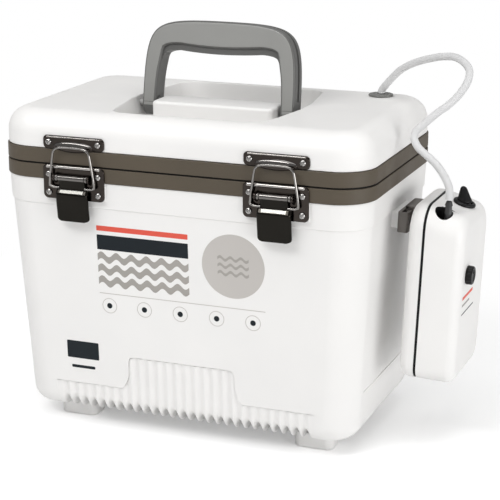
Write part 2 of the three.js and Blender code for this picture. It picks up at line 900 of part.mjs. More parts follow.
// The base plate with a rolled upper edge and two ears that hold the lever's pin
function latchBase(centre) {
  const outline = rectangle(centre - baseWidth / 2, centre + baseWidth / 2, baseBottom, baseTop,
    plateRound, 2);
  const plate = solid(prismY(outline, out(plateFront), out(plateBack)));
  const roll = solid(rodX(rollRadius, centre - baseWidth / 2 + plateRound,
    centre + baseWidth / 2 - plateRound, out(plateBack + rollRadius), baseTop - rollRadius, 10));
  const earOutline = new THREE.Shape();
  earOutline.moveTo(out(plateBack), leverPinHeight - 2 * earRadius);
  earOutline.absarc(out(leverPinOut), leverPinHeight, earRadius, 1.75 * Math.PI, 0.5 * Math.PI, true);
  earOutline.lineTo(out(plateBack), leverPinHeight + earRadius);
  const ears = [-1, 1].map((way) => {
    const inner = leverWidth / 2 + earGap;
    const ends = [centre + way * inner, centre + way * (inner + earThickness)];
    return solid(prismX(earOutline.getPoints(3), Math.min(...ends), Math.max(...ends)));
  });
  const bore = solid(rodX(leverPinRadius + seatGap, centre - baseWidth / 2,
    centre + baseWidth / 2, out(leverPinOut), leverPinHeight, 12));
  return less(joined(plate, roll, ...ears), bore, ...latchScrewHoles());
}

// The keeper plate with a lip that curls forward and up under the bail
function keeper(centre) {
  const outline = rectangle(centre - baseWidth / 2, centre + baseWidth / 2, keeperBottom,
    keeperBottom + keeperHeight, plateRound, 2);
  const plate = solid(prismY(outline, out(keeperFront), out(keeperBack)));
  const lipTop = keeperBottom + plateThickness;
  const section = new THREE.Shape();
  const middle = (keeperFront + lipReach) / 2;
  const low = keeperBottom - (lipReach - keeperFront) / 2;
  section.moveTo(out(keeperBack), lipTop + plateThickness);
  section.lineTo(out(keeperBack), keeperBottom);
  section.quadraticCurveTo(out(keeperFront), low, out(middle), low);
  section.quadraticCurveTo(out(lipReach), low, out(lipReach), keeperBottom);
  section.lineTo(out(lipReach), lipTop);
  section.lineTo(out(lipReach - plateThickness / 2), lipTop);
  section.quadraticCurveTo(out(lipReach - plateThickness / 2), keeperBottom, out(middle),
    keeperBottom);
  section.quadraticCurveTo(out(keeperFront), keeperBottom, out(keeperFront), lipTop);
  section.lineTo(out(keeperFront), lipTop + plateThickness);
  const lip = solid(prismX(section.getPoints(3), centre - lipHalf, centre + lipHalf));
  return less(joined(plate, lip), ...keeperScrewHoles());
}

const bailOut = leverPinOut - bailTuck;
const bailZ = leverPinHeight - bailDrop;

// The lever: a bowed channel that hangs from a knuckle, with cheeks that carry the bail
function latchLever(centre) {
  const outer = leverPinOut + leverKnuckle;
  const tip = outer - 2 * leverPlate;
  const bowed = outer + leverPlate / 2;
  const bowHeight = leverPinHeight - bailDrop - leverKnuckle;
  const face = new THREE.Shape();
  face.moveTo(out(outer - leverPlate), leverPinHeight);
  face.quadraticCurveTo(out(bowed - leverPlate), bowHeight, out(tip - leverPlate), leverBottom);
  face.lineTo(out(tip - leverPlate / 2), leverBottom - leverPlate / 2);
  face.lineTo(out(tip), leverBottom);
  face.quadraticCurveTo(out(bowed), bowHeight, out(outer), leverPinHeight);
  const half = leverWidth / 2;
  const plate = solid(prismX(face.getPoints(6), centre - half, centre + half));
  const roll = solid(rodX(leverKnuckle, centre - half, centre + half, out(leverPinOut),
    leverPinHeight));
  const cheekOutline = [
    new THREE.Vector2(out(leverPinOut), leverPinHeight + leverKnuckle / 2),
    new THREE.Vector2(out(leverPinOut - leverKnuckle / 2), leverPinHeight),
    new THREE.Vector2(out(bailOut - bailWire), bailZ + bailWire),
    new THREE.Vector2(out(bailOut - bailWire), bailZ - bailWire),
    new THREE.Vector2(out(tip - leverPlate), leverBottom + leverPlate),
    new THREE.Vector2(out(outer - leverPlate / 2), bowHeight),
    new THREE.Vector2(out(outer - leverPlate / 2), leverPinHeight),
  ];
  const cheeks = [-1, 1].map((way) => {
    const ends = [centre + way * (half - leverPlate), centre + way * half];
    return solid(prismX(cheekOutline, Math.min(...ends), Math.max(...ends)));
  });
  const pinBore = solid(rodX(leverPinRadius + seatGap, centre - leverWidth, centre + leverWidth,
    out(leverPinOut), leverPinHeight, 12));
  const bailBore = solid(rodX(bailWire / 2 + seatGap, centre - leverWidth, centre + leverWidth,
    out(bailOut), bailZ, 12));
  return less(joined(plate, roll, ...cheeks), pinBore, bailBore);
}

function leverPin(centre) {
  const reach = leverWidth / 2 + earGap + earThickness + seatGap;
  return rodX(leverPinRadius, centre - reach, centre + reach, out(leverPinOut), leverPinHeight, 12);
}

// The bail: one wire from cheek to cheek, over the keeper's lip
function latchBail(centre) {
  const inner = leverWidth / 2 - leverPlate / 2;
  const topOut = lipReach + seatGap + bailWire / 2;
  const bend = 1.5 * bailWire;
  const lean = (share) => THREE.MathUtils.lerp(bailOut, topOut, share);
  const half = [
    [inner, bailOut, bailZ],
    [bailFootHalf - bend, bailOut, bailZ],
    [bailFootHalf - bend / 4, bailOut, bailZ + bend / 4],
    [bailFootHalf, lean(0.1), bailZ + bend],
    [bailTopHalf, lean(0.85), bailTop - bend],
    [bailTopHalf - bend / 4, topOut, bailTop - bend / 4],
    [bailTopHalf - bend, topOut, bailTop],
  ].map(([x, forward, z]) => [x, out(forward), z]);
  const mirrored = half.map(([x, y, z]) => [-x, y, z]).reverse();
  const route = [...half, ...mirrored].map(([x, y, z]) => [centre + x, y, z]);
  return tube(route, bailWire / 2, wireSides, 2 * bailWire);
}

// Pump, in its own leaning frame: x out from its back, z up from its bottom

const pumpTurn = new THREE.Matrix4().makeRotationY(THREE.MathUtils.degToRad(pumpLean));
pumpTurn.setPosition(pumpBackX, 0, pumpBottom);
const hung = (geometry) => geometry.applyMatrix4(pumpTurn);

// The case's outline at a depth, drawn in by an inset. The top falls towards the front
function caseOutline(depth, inset) {
  const fall = pumpTopFall * Math.max(0, (depth - pumpSeam) / (pumpDepth - pumpSeam));
  const [half, top] = [pumpWidth / 2 - inset, pumpHeight - fall - inset];
  const topRound = Math.max(pumpTopRound - inset / 2, pumpWall);
  const bottomRadius = Math.max(pumpBottomRound - inset / 2, pumpWall);
  return roundedOutline([
    [half, top, topRound], [-half, top, topRound],
    [-half, inset, bottomRadius], [half, inset, bottomRadius],
  ], 3);
}

// How far the softened edges draw in, as shares of the depth that they take up
const edgeRound = 8;
const edgeShares = [[0, 1], [0.12, 0.56], [0.44, 0.25], [1, 0]];

function backLayers(offset) {
  return edgeShares.map(([depthShare, insetShare]) => {
    const depth = offset + depthShare * (edgeRound - offset);
    return at(depth, caseOutline(depth, offset + insetShare * (edgeRound - offset)));
  });
}

function frontLayers(offset) {
  return edgeShares.map(([depthShare, insetShare]) => {
    const depth = pumpDepth - offset - depthShare * (edgeRound - offset);
    return at(depth, caseOutline(depth, offset + insetShare * (edgeRound - offset)));
  }).reverse();
}

const frontSeam = pumpSeam + pumpSeal + 2 * seatGap;
const cellX = pumpWall + seatGap + cradleDepth / 4 + cellRadius;
const mechanismY = 0;
const motorX = cradleDepth + motorRadius - 2 * seatGap;
const headBottom = motorBottom + motorLength + seatGap;

// The hook on the back cover that drops into the hanger's channel
function pumpHook() {
  const legFront = -hangerStandOff - hangerWall - seatGap;
  const legBack = legFront - (hangerChannel - 2 * seatGap);
  const under = hangerBottom + hangerHeight + seatGap;
  const section = [
    new THREE.Vector2(legBack, under - clipReach),
    new THREE.Vector2(legFront, under - clipReach),
    new THREE.Vector2(legFront, under),
    new THREE.Vector2(pumpWall / 2, under),
    new THREE.Vector2(pumpWall / 2, under + clipHeight),
    new THREE.Vector2(legBack, under + clipHeight),
  ];
  return solid(prismY(section, -clipHalf, clipHalf));
}

// The cradle inside the back cover that the cells, the motor and the pump head lie in
function cradle() {
  const half = cellSpacing / 2 + cellRadius;
  const top = headBottom + pumpHeadHeight;
  const bed = solid(prismX(rectangle(-half, half, cellBottom, cellBottom + cellLength, pumpWall, 2),
    pumpWall / 2, cradleDepth));
  const mechanismBed = solid(prismX(
    rectangle(-pumpHeadWidth / 2, pumpHeadWidth / 2, motorBottom, top, pumpWall, 2),
    pumpWall / 2, cradleDepth));
  const troughs = [-1, 1].map((way) => solid(rodZ(cellRadius + seatGap, 0,
    cellBottom + cellLength + overrun, cellX, way * cellSpacing / 2, rodSides)));
  const motorTrough = solid(rodZ(motorRadius + seatGap, motorBottom - overrun,
    motorBottom + motorLength + seatGap, motorX, mechanismY, rodSides));
  return less(joined(bed, mechanismBed), ...troughs, motorTrough);
}

function pumpBackCover() {
  const shell = solid(loft([
    ...backLayers(0),
    at(pumpSeam, caseOutline(pumpSeam, 0)),
    at(pumpSeam, caseOutline(pumpSeam, pumpWall)),
    ...backLayers(pumpWall).reverse(),
  ]).applyMatrix4(layAlongX));
  return joined(shell, cradle(), pumpHook());
}

function pumpGasket() {
  const low = pumpSeam + seatGap;
  const proud = seatGap;
  return loft([
    at(low, caseOutline(low, proud)),
    at(low + pumpSeal, caseOutline(low + pumpSeal, proud)),
    at(low + pumpSeal, caseOutline(low + pumpSeal, pumpWall)),
    at(low, caseOutline(low, pumpWall)),
  ], true).applyMatrix4(layAlongX);
}

// The nipple stands in a half-round notch sunk into the top
function nippleNotch(radius, floor) {
  return solid(rodZ(radius, floor, pumpHeight + overrun, notchX, nippleY, turnSides));
}

const switchFall = Math.atan2(pumpTopFall, pumpDepth - pumpSeam);
const switchHeight = pumpHeight - pumpTopFall * (switchX - pumpSeam) / (pumpDepth - pumpSeam);

// Sets a piece made upright at the origin square on the sloping top
function onTop(geometry) {
  return geometry.rotateY(switchFall).translate(switchX, switchY, switchHeight);
}

function pumpFrontCase() {
  const shell = solid(loft([
    ...frontLayers(pumpWall).reverse(),
    at(frontSeam, caseOutline(frontSeam, pumpWall)),
    at(frontSeam, caseOutline(frontSeam, 0)),
    ...frontLayers(0),
  ]).applyMatrix4(layAlongX));
  const envelope = solid(loft([
    at(frontSeam, caseOutline(frontSeam, 0)),
    ...frontLayers(0),
  ]).applyMatrix4(layAlongX));
  const cup = nippleNotch(notchRadius + pumpWall, notchFloor - pumpWall).intersect(envelope);
  const shaftHole = solid(rodX(knobShaftRadius + seatGap, pumpDepth - 2 * pumpWall,
    pumpDepth + overrun, knobY, knobZ, 12));
  const nippleHole = solid(rodZ(nippleRadius + seatGap, notchFloor - 2 * pumpWall,
    notchFloor + overrun, nippleX, nippleY, 12));
  const switchHole = solid(onTop(rodZ(bootRadius / 2 + seatGap, -3 * pumpWall, overrun, 0, 0, 12)));
  return less(joined(shell, cup), nippleNotch(notchRadius, notchFloor), shaftHole, nippleHole,
    switchHole);
}

function nipple() {
  const collar = 1.4 * nippleRadius;
  const barb = 1.2 * nippleRadius;
  const floor = notchFloor + seatGap;
  const neck = nippleTop - collar;
  return turned([
    [0, notchFloor - 1.6 * pumpWall],
    [nippleRadius, notchFloor - 1.6 * pumpWall],
    [nippleRadius, floor],
    [collar, floor],
    [collar, floor + collar],
    [nippleRadius, floor + collar],
    [nippleRadius, neck],
    [barb, neck],
    [nippleRadius / 2, nippleTop],
    [0, nippleTop],
  ]).translate(nippleX, nippleY, 0);
}

// The speed knob: a fluted cap on a short shaft through the front
function speedKnob() {
  const base = pumpDepth + seatGap;
  const flutes = 12;
  const fluteShare = 0.93;
  const outline = Array.from({ length: 2 * flutes }, (_, step) => {
    const radius = knobRadius * (step % 2 ? fluteShare : 1);
    const angle = (Math.PI * step) / flutes;
    return new THREE.Vector2(radius * Math.cos(angle), radius * Math.sin(angle));
  });
  const crownShare = 0.85;
  const shrink = (share) => outline.map((point) => point.clone().multiplyScalar(share));
  const cap = solid(loft([
    at(base, outline),
    at(base + 0.75 * knobHeight, outline),
    at(base + knobHeight, shrink(crownShare)),
  ]).applyMatrix4(layAlongX).translate(0, knobY, knobZ));
  const shaft = solid(rodX(knobShaftRadius, pumpDepth - 1.8 * pumpWall, base + overrun, knobY, knobZ,
    12));
  return joined(cap, shaft);
}

function switchCollar() {
  const bore = bootRadius + seatGap;
  return onTop(turned([
    [bore, seatGap],
    [switchCollarRadius, seatGap],
    [switchCollarRadius, seatGap + switchCollarHeight / 2],
    [switchCollarRadius - switchCollarHeight / 2, seatGap + switchCollarHeight],
    [bore, seatGap + switchCollarHeight],
    [bore, seatGap],
  ], turnSides));
}

// Leans the part of a piece above a height towards the tub, by a share of its height
function leaned(geometry, from, share) {
  const points = geometry.attributes.position;
  for (let index = 0; index < points.count; index += 1) {
    const above = Math.max(0, points.getZ(index) - from);
    points.setX(index, points.getX(index) - share * above);
  }
  return geometry;
}

// The rubber boot over the switch's lever, thrown towards the tub
function toggleBoot() {
  const stem = bootRadius / 3;
  const low = bootLift;
  const foot = bootRadius - bootPlay;
  const upright = turned([
    [0, -1.2 * pumpWall],
    [stem, -1.2 * pumpWall],
    [stem, low],
    [foot, low],
    [foot, low + bootHeight / 8],
    [0.6 * bootRadius, low + bootHeight / 2],
    [0.42 * bootRadius, low + 0.86 * bootHeight],
    [0.26 * bootRadius, low + 0.97 * bootHeight],
    [0, low + bootHeight],
  ], turnSides);
  const bent = leaned(upright, low + bootHeight / 8, bootLean);
  return onTop(bent.rotateY(-THREE.MathUtils.degToRad(bootThrow)));
}

function batteryCell(y) {
  const top = cellBottom + cellLength;
  return turned([
    [0, cellBottom],
    [cellRadius, cellBottom],
    [cellRadius, top - cellNubHeight],
    [cellNubRadius, top - cellNubHeight],
    [cellNubRadius, top],
    [0, top],
  ]).translate(cellX, y, 0);
}

// The plate that joins the cells at their lower ends, with a bump under each
function batteryContact() {
  const top = cellBottom - seatGap;
  const half = cellSpacing / 2 + cellNubRadius;
  const depthHalf = cellNubRadius + contactPlate;
  const plate = solid(prismZ(rectangle(cellX - depthHalf, cellX + depthHalf, -half, half,
    contactPlate, 2), pumpWall + seatGap, pumpWall + seatGap + contactPlate));
  const bumps = [-1, 1].map((way) => solid(turned([
    [0, pumpWall + 2 * seatGap],
    [cellNubRadius, pumpWall + 2 * seatGap],
    [cellNubRadius / 2, top],
    [0, top],
  ], 12).translate(cellX, way * cellSpacing / 2, 0)));
  return joined(plate, ...bumps);
}

function pumpMotor() {
  const top = motorBottom + motorLength;
  const flat = motorRadius - pumpWall / 2;
  return turned([
    [0, motorBottom],
    [flat, motorBottom],
    [motorRadius, motorBottom + pumpWall / 2],
    [motorRadius, top - pumpWall / 2],
    [flat, top],
    [0, top],
  ]).translate(motorX, mechanismY, 0);
}

// The diaphragm head that the motor drives, with its outlet
function pumpHead() {
  const back = cradleDepth + seatGap;
  const top = headBottom + pumpHeadHeight;
  const body = solid(prismZ(rectangle(back, back + pumpHeadDepth, -pumpHeadWidth / 2,
    pumpHeadWidth / 2, pumpWall, 3), headBottom, top));
  const outlet = solid(rodZ(nippleRadius, top - overrun, top + 2 * nippleRadius,
    back + pumpHeadDepth / 2, -pumpHeadWidth / 4, 12));
  return joined(body, outlet);
}

// Hanger on the tub's wall, in the pump's leaning frame

const hangerBack = -hangerStandOff - 2 * hangerWall - hangerChannel;

// A block on the boss with a pocket, open above, that the pump's hook drops into
function hangerBracket() {
  const top = hangerBottom + hangerHeight;
  const front = -hangerStandOff;
  const body = solid(prismZ(rectangle(hangerBack, front, -hangerHalf, hangerHalf,
    hangerWall - seatGap, 3), hangerBottom, top));
  const pocketHalf = hangerHalf - hangerWall;
  const pocket = solid(prismZ(rectangle(hangerBack + hangerWall, front - hangerWall, -pocketHalf,
    pocketHalf, seatGap, 2), hangerBottom + hangerWall, top + overrun));
  const holes = hangerScrewPlaces().map(([y, z]) => hangerHole(y, z));
  return less(body, pocket, ...holes);
}

function hangerScrewPlaces() {
  const middle = hangerBottom + hangerHeight / 2 + hangerWall / 2;
  return [-1, 1].map((way) => [way * hangerScrewSpacing / 2, middle]);
}

function hangerHole(y, z) {
  return solid(rodX(screwRadius + seatGap, hangerBack - 2 * screwBite, hangerBack + 2 * hangerWall,
    y, z, screwSides));
}

function hangerScrewHoles() {
  return hangerScrewPlaces().map(([y, z]) => solid(hung(rodX(screwRadius + seatGap,
    hangerBack - 2 * screwBite, hangerBack + hangerWall, y, z, screwSides))));
}

function hangerScrew(y, z) {
  const face = hangerBack + hangerWall + seatGap;
  const shank = hangerWall + seatGap + 1.5 * screwBite;
  return turned([
    [0, -shank],
    [screwRadius, -shank],
    [screwRadius, 0],
    [screwHeadRadius, 0],
    [screwHeadRadius / 2, screwHeadHeight],
    [0, screwHeadHeight],
  ], screwSides).rotateY(Math.PI / 2).translate(face, y, z);
}

// The moulded boss that brings the wall out to the hanger
function hangerBoss() {
  const inset = seatGap + bandProud;
  const reach = pumpBackX - halfLength + hangerStandOff + skin;
  const outline = rectangle(-bossHalf, bossHalf, hangerBottom + inset,
    hangerBottom + hangerHeight - inset, plateRound / 2, 2);
  return solid(hung(prismX(outline, hangerBack - reach, hangerBack - seatGap)));
}

// Air line

function grommetHole() {
  return solid(rodZ(grommetTube + seatGap, plugBottom - overrun, lidTop + overrun, grommetX,
    grommetY, turnSides));
}

function grommet() {
  const bore = hoseRadius + seatGap;
  const low = lidTop + seatGap;
  return turned([
    [bore, lidTop - grommetGrip],
    [grommetTube, lidTop - grommetGrip],
    [grommetTube, low],
    [grommetRadius, low],
    [grommetRadius, low + grommetHeight / 2],
    [grommetRadius - grommetHeight / 2, low + grommetHeight],
    [bore, low + grommetHeight],
    [bore, lidTop - grommetGrip],
  ], turnSides).translate(grommetX, grommetY, 0);
}

const hoseLowerRoute = [
  [199.75, -28.5, 204.7], [199.8, -28.5, 208.5], [198.8, -28, 215.2], [193.8, -27, 224],
  [186.7, -25, 231.5], [177.9, -22, 237.2], [171.6, -20, 241.8], [167.6, -17, 247.5],
  [168.2, -15, 252.5], [173.2, -13, 257.8], [182.9, -9, 267], [189.9, -5.2, 272.4],
  [195, -1.5, 277.6], [196.5, -0.1, 279.57],
];
const hoseUpperRoute = [
  [196.75, 0.14, 279.92], [198.2, 1.5, 281.9], [201.1, 6, 287.5], [201.8, 12, 292.8], [199.8, 19, 297.8],
  [193.2, 26, 302.2], [184.1, 33, 304.2], [172.6, 40, 302.7], [161, 47, 299.5],
  [146.8, 54, 294.3], [134.4, 60, 287.5], [124.9, 64, 278.9], [118, 66.4, 271],
  [115.6, 67, 267.6], [115.4, 67, 265.6],
];
const hoseInnerRoute = [
  [115, 67, 264.4], [115, 67, 240], [115, 67, 212], [114, 65, 170], [111, 61, 120],
  [106, 57, 75], [96, 54, 48], [78, 51, 37], [55, 48.5, 34.5], [32, 46.5, 35.4],
  [12, 46, 37.3], [8.3, 46, 37.3],
];
const hoseStep = 6 * hoseRadius;

// The outer routes rise with the tub, and the inner one stretches from the floor to the lid
const risen = (route) => route.map(([x, y, z]) => [x, y, z + tubHeight - routeTubHeight]);
const stretched = (route) => {
  const share = (tubHeight - linerFloor) / (routeTubHeight - linerFloor);
  return route.map(([x, y, z]) => [x, y, linerFloor + (z - linerFloor) * share]);
};

function hose(route) {
  return tube(route, hoseRadius, hoseSides, hoseStep);
}

// The stone lies on the liner's floor with its stem towards the hose
function airStone() {
  const stem = stoneLength / 7;
  return turned([
    [0, 0],
    [stoneRadius - stoneEdge, 0],
    [stoneRadius, stoneEdge],
    [stoneRadius, stoneLength - stoneEdge],
    [stoneRadius - stoneEdge, stoneLength],
    [hoseRadius, stoneLength],
    [hoseRadius, stoneLength + stem],
    [0, stoneLength + stem],
  ]).rotateY(Math.PI / 2)
    .translate(stoneX, stoneY, linerFloor + seatGap + stoneRadius);
}

// Assembly

const well = new THREE.Group();

function place(name, shape, material) {
  const geometry = shape.isBufferGeometry ? geometryOf(solid(shape)) : geometryOf(shape);
  const mesh = new THREE.Mesh(geometry, material);
  mesh.name = name;
  well.add(mesh);
}

function placeHung(name, shape, material) {
  const geometry = shape.isBufferGeometry ? geometryOf(solid(shape)) : geometryOf(shape);
  place(name, hung(geometry), material);
}

place('tub_shell', tubShell(), white);
place('tub_foam', tubFoam(), foam);
place('tub_liner', tubLiner(), linerWhite);
place('tub_rim_band', tubBand(), taupe);
const frontY = -footSpacingY / 2;
const rightX = footSpacingX / 2;
place('foot_front_left', foot(-rightX, frontY), white);
place('foot_front_right', foot(rightX, frontY), white);
place('foot_rear_left', foot(-rightX, -frontY), white);
place('foot_rear_right', foot(rightX, -frontY), white);

for (const [side, centre] of Object.entries(latchPlaces)) {
  place(`latch_base_${side}`, latchBase(centre), darkChrome);
  place(`latch_lever_${side}`, latchLever(centre), darkChrome);
  place(`latch_lever_pin_${side}`, leverPin(centre), darkChrome);
  place(`latch_bail_${side}`, latchBail(centre), darkChrome);
  place(`latch_keeper_${side}`, keeper(centre), darkChrome);
  for (const [corner, [x, z]] of Object.entries(baseScrews)) {
    place(`latch_screw_${side}_${corner}`,
      screw(centre + x, z, plateFront, plateFront + seatGap + screwBite), steel);
  }
  for (const [corner, [x, z]] of Object.entries(keeperScrews)) {
    place(`keeper_screw_${side}_${corner}`,
      screw(centre + x, z, keeperFront, keeperFront + seatGap + lidInset + screwBite), steel);
  }
}

place('lid_shell', lidShell(), white);
place('lid_foam', lidFoam(), foam);
place('lid_liner', lidLiner(), linerWhite);
place('lid_rim_band', lidBand(), taupe);
place('lid_gasket', lidGasket(), rubber);
const pinReach = 1.5 * knuckleWidth + seatGap;
for (const [side, x] of [['left', hingePlaces[0]], ['right', hingePlaces[1]]]) {
  place(`hinge_pin_${side}`, rodX(hingePinRadius, x - pinReach, x + pinReach, hingeY, seam, 12),
    steel);
}

place('handle', handle(), handleGrey);
place('handle_pin_left', handlePin(-1), steel);
place('handle_pin_right', handlePin(1), steel);

placeHung('hanger_bracket', hangerBracket(), taupe);
const hangerScrewSides = ['front', 'rear'];
hangerScrewPlaces().forEach(([y, z], index) => {
  placeHung(`hanger_screw_${hangerScrewSides[index]}`, hangerScrew(y, z), steel);
});
placeHung('pump_back_cover', pumpBackCover(), white);
placeHung('pump_gasket', pumpGasket(), rubber);
placeHung('pump_front_case', pumpFrontCase(), white);
placeHung('pump_nipple', nipple(), blackPlastic);
placeHung('speed_knob', speedKnob(), blackPlastic);
placeHung('switch_collar', switchCollar(), blackPlastic);
placeHung('toggle_boot', toggleBoot(), rubber);
placeHung('battery_cell_front', batteryCell(-cellSpacing / 2), cellWrap);
placeHung('battery_cell_rear', batteryCell(cellSpacing / 2), cellWrap);
placeHung('battery_contact', batteryContact(), copper);
placeHung('pump_motor', pumpMotor(), steel);
placeHung('pump_head', pumpHead(), blackPlastic);

place('hose_grommet', grommet(), taupe);
place('air_hose_lower', hose(risen(hoseLowerRoute)), clearHose);
place('air_hose_upper', hose(risen(hoseUpperRoute)), clearHose);
place('air_hose_inner', hose(stretched(hoseInnerRoute)), clearHose);
place('air_stone', airStone(), stoneBlue);

// The origin goes under the middle of the box and pump together, hose and stone aside
const shell = new THREE.Box3();
const loose = ['air_hose_lower', 'air_hose_upper', 'air_hose_inner', 'air_stone'];
for (const mesh of well.children) {
  if (!loose.includes(mesh.name)) shell.expandByObject(mesh, true);
}
const middle = shell.getCenter(new THREE.Vector3());
well.position.set(-middle.x, -middle.y, -shell.min.z);
well.updateMatrixWorld(true);

export default well;
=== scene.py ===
import json
import math

import bmesh
import bpy
from mathutils import Matrix, Vector
from mathutils.geometry import interpolate_bezier


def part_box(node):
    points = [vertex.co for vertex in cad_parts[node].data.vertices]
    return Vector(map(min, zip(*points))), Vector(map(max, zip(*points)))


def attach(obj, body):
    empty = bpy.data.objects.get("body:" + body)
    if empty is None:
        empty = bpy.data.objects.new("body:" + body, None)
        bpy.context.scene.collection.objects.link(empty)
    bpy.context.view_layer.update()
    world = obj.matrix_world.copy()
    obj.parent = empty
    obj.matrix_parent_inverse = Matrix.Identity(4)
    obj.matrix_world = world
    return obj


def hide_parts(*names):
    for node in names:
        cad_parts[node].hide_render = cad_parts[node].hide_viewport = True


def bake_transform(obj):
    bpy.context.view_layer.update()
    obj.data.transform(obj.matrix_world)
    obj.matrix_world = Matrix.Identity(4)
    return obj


# Live bait well: an insulated box with a hinged lid, two draw latches, a swinging handle and
# an air pump hung on the right wall. Sizes are in millimetres from the tub's own centre.

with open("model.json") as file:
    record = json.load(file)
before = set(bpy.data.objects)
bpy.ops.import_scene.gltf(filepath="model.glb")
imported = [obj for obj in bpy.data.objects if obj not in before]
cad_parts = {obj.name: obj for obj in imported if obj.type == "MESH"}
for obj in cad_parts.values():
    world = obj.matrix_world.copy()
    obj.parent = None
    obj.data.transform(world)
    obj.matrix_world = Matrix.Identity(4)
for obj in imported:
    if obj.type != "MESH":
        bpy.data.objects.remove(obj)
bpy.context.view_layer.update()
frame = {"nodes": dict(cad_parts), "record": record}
print("frame loaded")

mm = 0.001
linerLow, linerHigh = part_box("tub_liner")
tubX, tubY = ((linerLow[axis] + linerHigh[axis]) / 2 for axis in (0, 1))
intoFrame = Matrix.Translation((tubX, tubY, 0)) @ Matrix.Scale(mm, 4)
scene = bpy.context.scene

# Camera

camera = {
    "position": (504.4, -1227.4, 509.5),
    "target": (22.07, 8.61, 136.98),
    "lens": 119.3,
    "sensor": 36,
    "farthest": 20,
}
cameraData = bpy.data.cameras.new("camera")
cameraData.lens = camera["lens"]
cameraData.sensor_width = camera["sensor"]
cameraData.sensor_height = camera["sensor"]
cameraData.clip_end = camera["farthest"]
cameraObject = bpy.data.objects.new("camera", cameraData)
scene.collection.objects.link(cameraObject)
eye = intoFrame @ Vector(camera["position"])
sight = intoFrame @ Vector(camera["target"]) - eye
cameraObject.location = eye
cameraObject.rotation_euler = sight.to_track_quat("-Z", "Y").to_euler()
scene.camera = cameraObject
scene.view_settings.view_transform = "Standard"


# Node helpers for materials

def newMaterial(name):
    material = bpy.data.materials.new(name)
    material.use_nodes = True
    nodes = material.node_tree.nodes
    shader = next(node for node in nodes if node.type == "BSDF_PRINCIPLED")
    return material, nodes, material.node_tree.links, shader


# Sets a node's inputs by name and gives it back
def withInputs(node, values):
    for name, value in values.items():
        node.inputs[name].default_value = value
    return node


def noiseAt(nodes, links, scale, detail, roughness=0.5):
    place = nodes.new("ShaderNodeTexCoord")
    noise = withInputs(nodes.new("ShaderNodeTexNoise"),
                       {"Scale": scale, "Detail": detail, "Roughness": roughness})
    links.new(place.outputs["Object"], noise.inputs["Vector"])
    return noise.outputs["Fac"]


def rampOf(nodes, links, source, low, high, fromLow=0.3, fromHigh=0.7):
    span = withInputs(nodes.new("ShaderNodeMapRange"), {
        "From Min": fromLow, "From Max": fromHigh, "To Min": low, "To Max": high})
    links.new(source, span.inputs["Value"])
    return span.outputs["Result"]


# Two tones in soft patches as a shader's colour
def twoTones(nodes, links, shader, look, patch):
    mix = nodes.new("ShaderNodeMix")
    mix.data_type = "RGBA"
    withInputs(mix, {"A": (*look["color"], 1), "B": (*look["second"], 1)})
    factor = rampOf(nodes, links, noiseAt(nodes, links, *patch), 0, 1)
    links.new(factor, mix.inputs["Factor"])
    links.new(mix.outputs["Result"], shader.inputs["Base Color"])


def bumpOf(nodes, links, height, strength, depth, under=None):
    bump = withInputs(nodes.new("ShaderNodeBump"), {"Strength": strength, "Distance": depth})
    links.new(height, bump.inputs["Height"])
    if under:
        links.new(under, bump.inputs["Normal"])
    return bump.outputs["Normal"]


# Noise that all finishes share, as scale, detail and roughness, and bump depths in metres
finish = {"patch": (14, 2), "smudge": (45, 4, 0.6), "ripple": (30, 1), "grainDetail": 2,
          "wave": 0.05, "waveDepth": 0.001, "depth": 0.0002, "specular": 0.5}


# A moulded or cast finish: two tones in soft patches, a fine grain and a slow ripple
def moulded(name, look):
    material, nodes, links, shader = newMaterial(name)
    twoTones(nodes, links, shader, look, finish["patch"])
    smudge = noiseAt(nodes, links, *finish["smudge"])
    links.new(rampOf(nodes, links, smudge, *look["roughness"]), shader.inputs["Roughness"])
    withInputs(shader, {"Metallic": look.get("metallic", 0),
                        "Specular IOR Level": look.get("specular", finish["specular"])})
    ripple = noiseAt(nodes, links, *finish["ripple"])
    slow = bumpOf(nodes, links, ripple, look.get("wave", finish["wave"]), finish["waveDepth"])
    grain = noiseAt(nodes, links, look["grain"], finish["grainDetail"])
    fine = bumpOf(nodes, links, grain, look["bump"], look.get("depth", finish["depth"]), slow)
    links.new(fine, shader.inputs["Normal"])
    return material


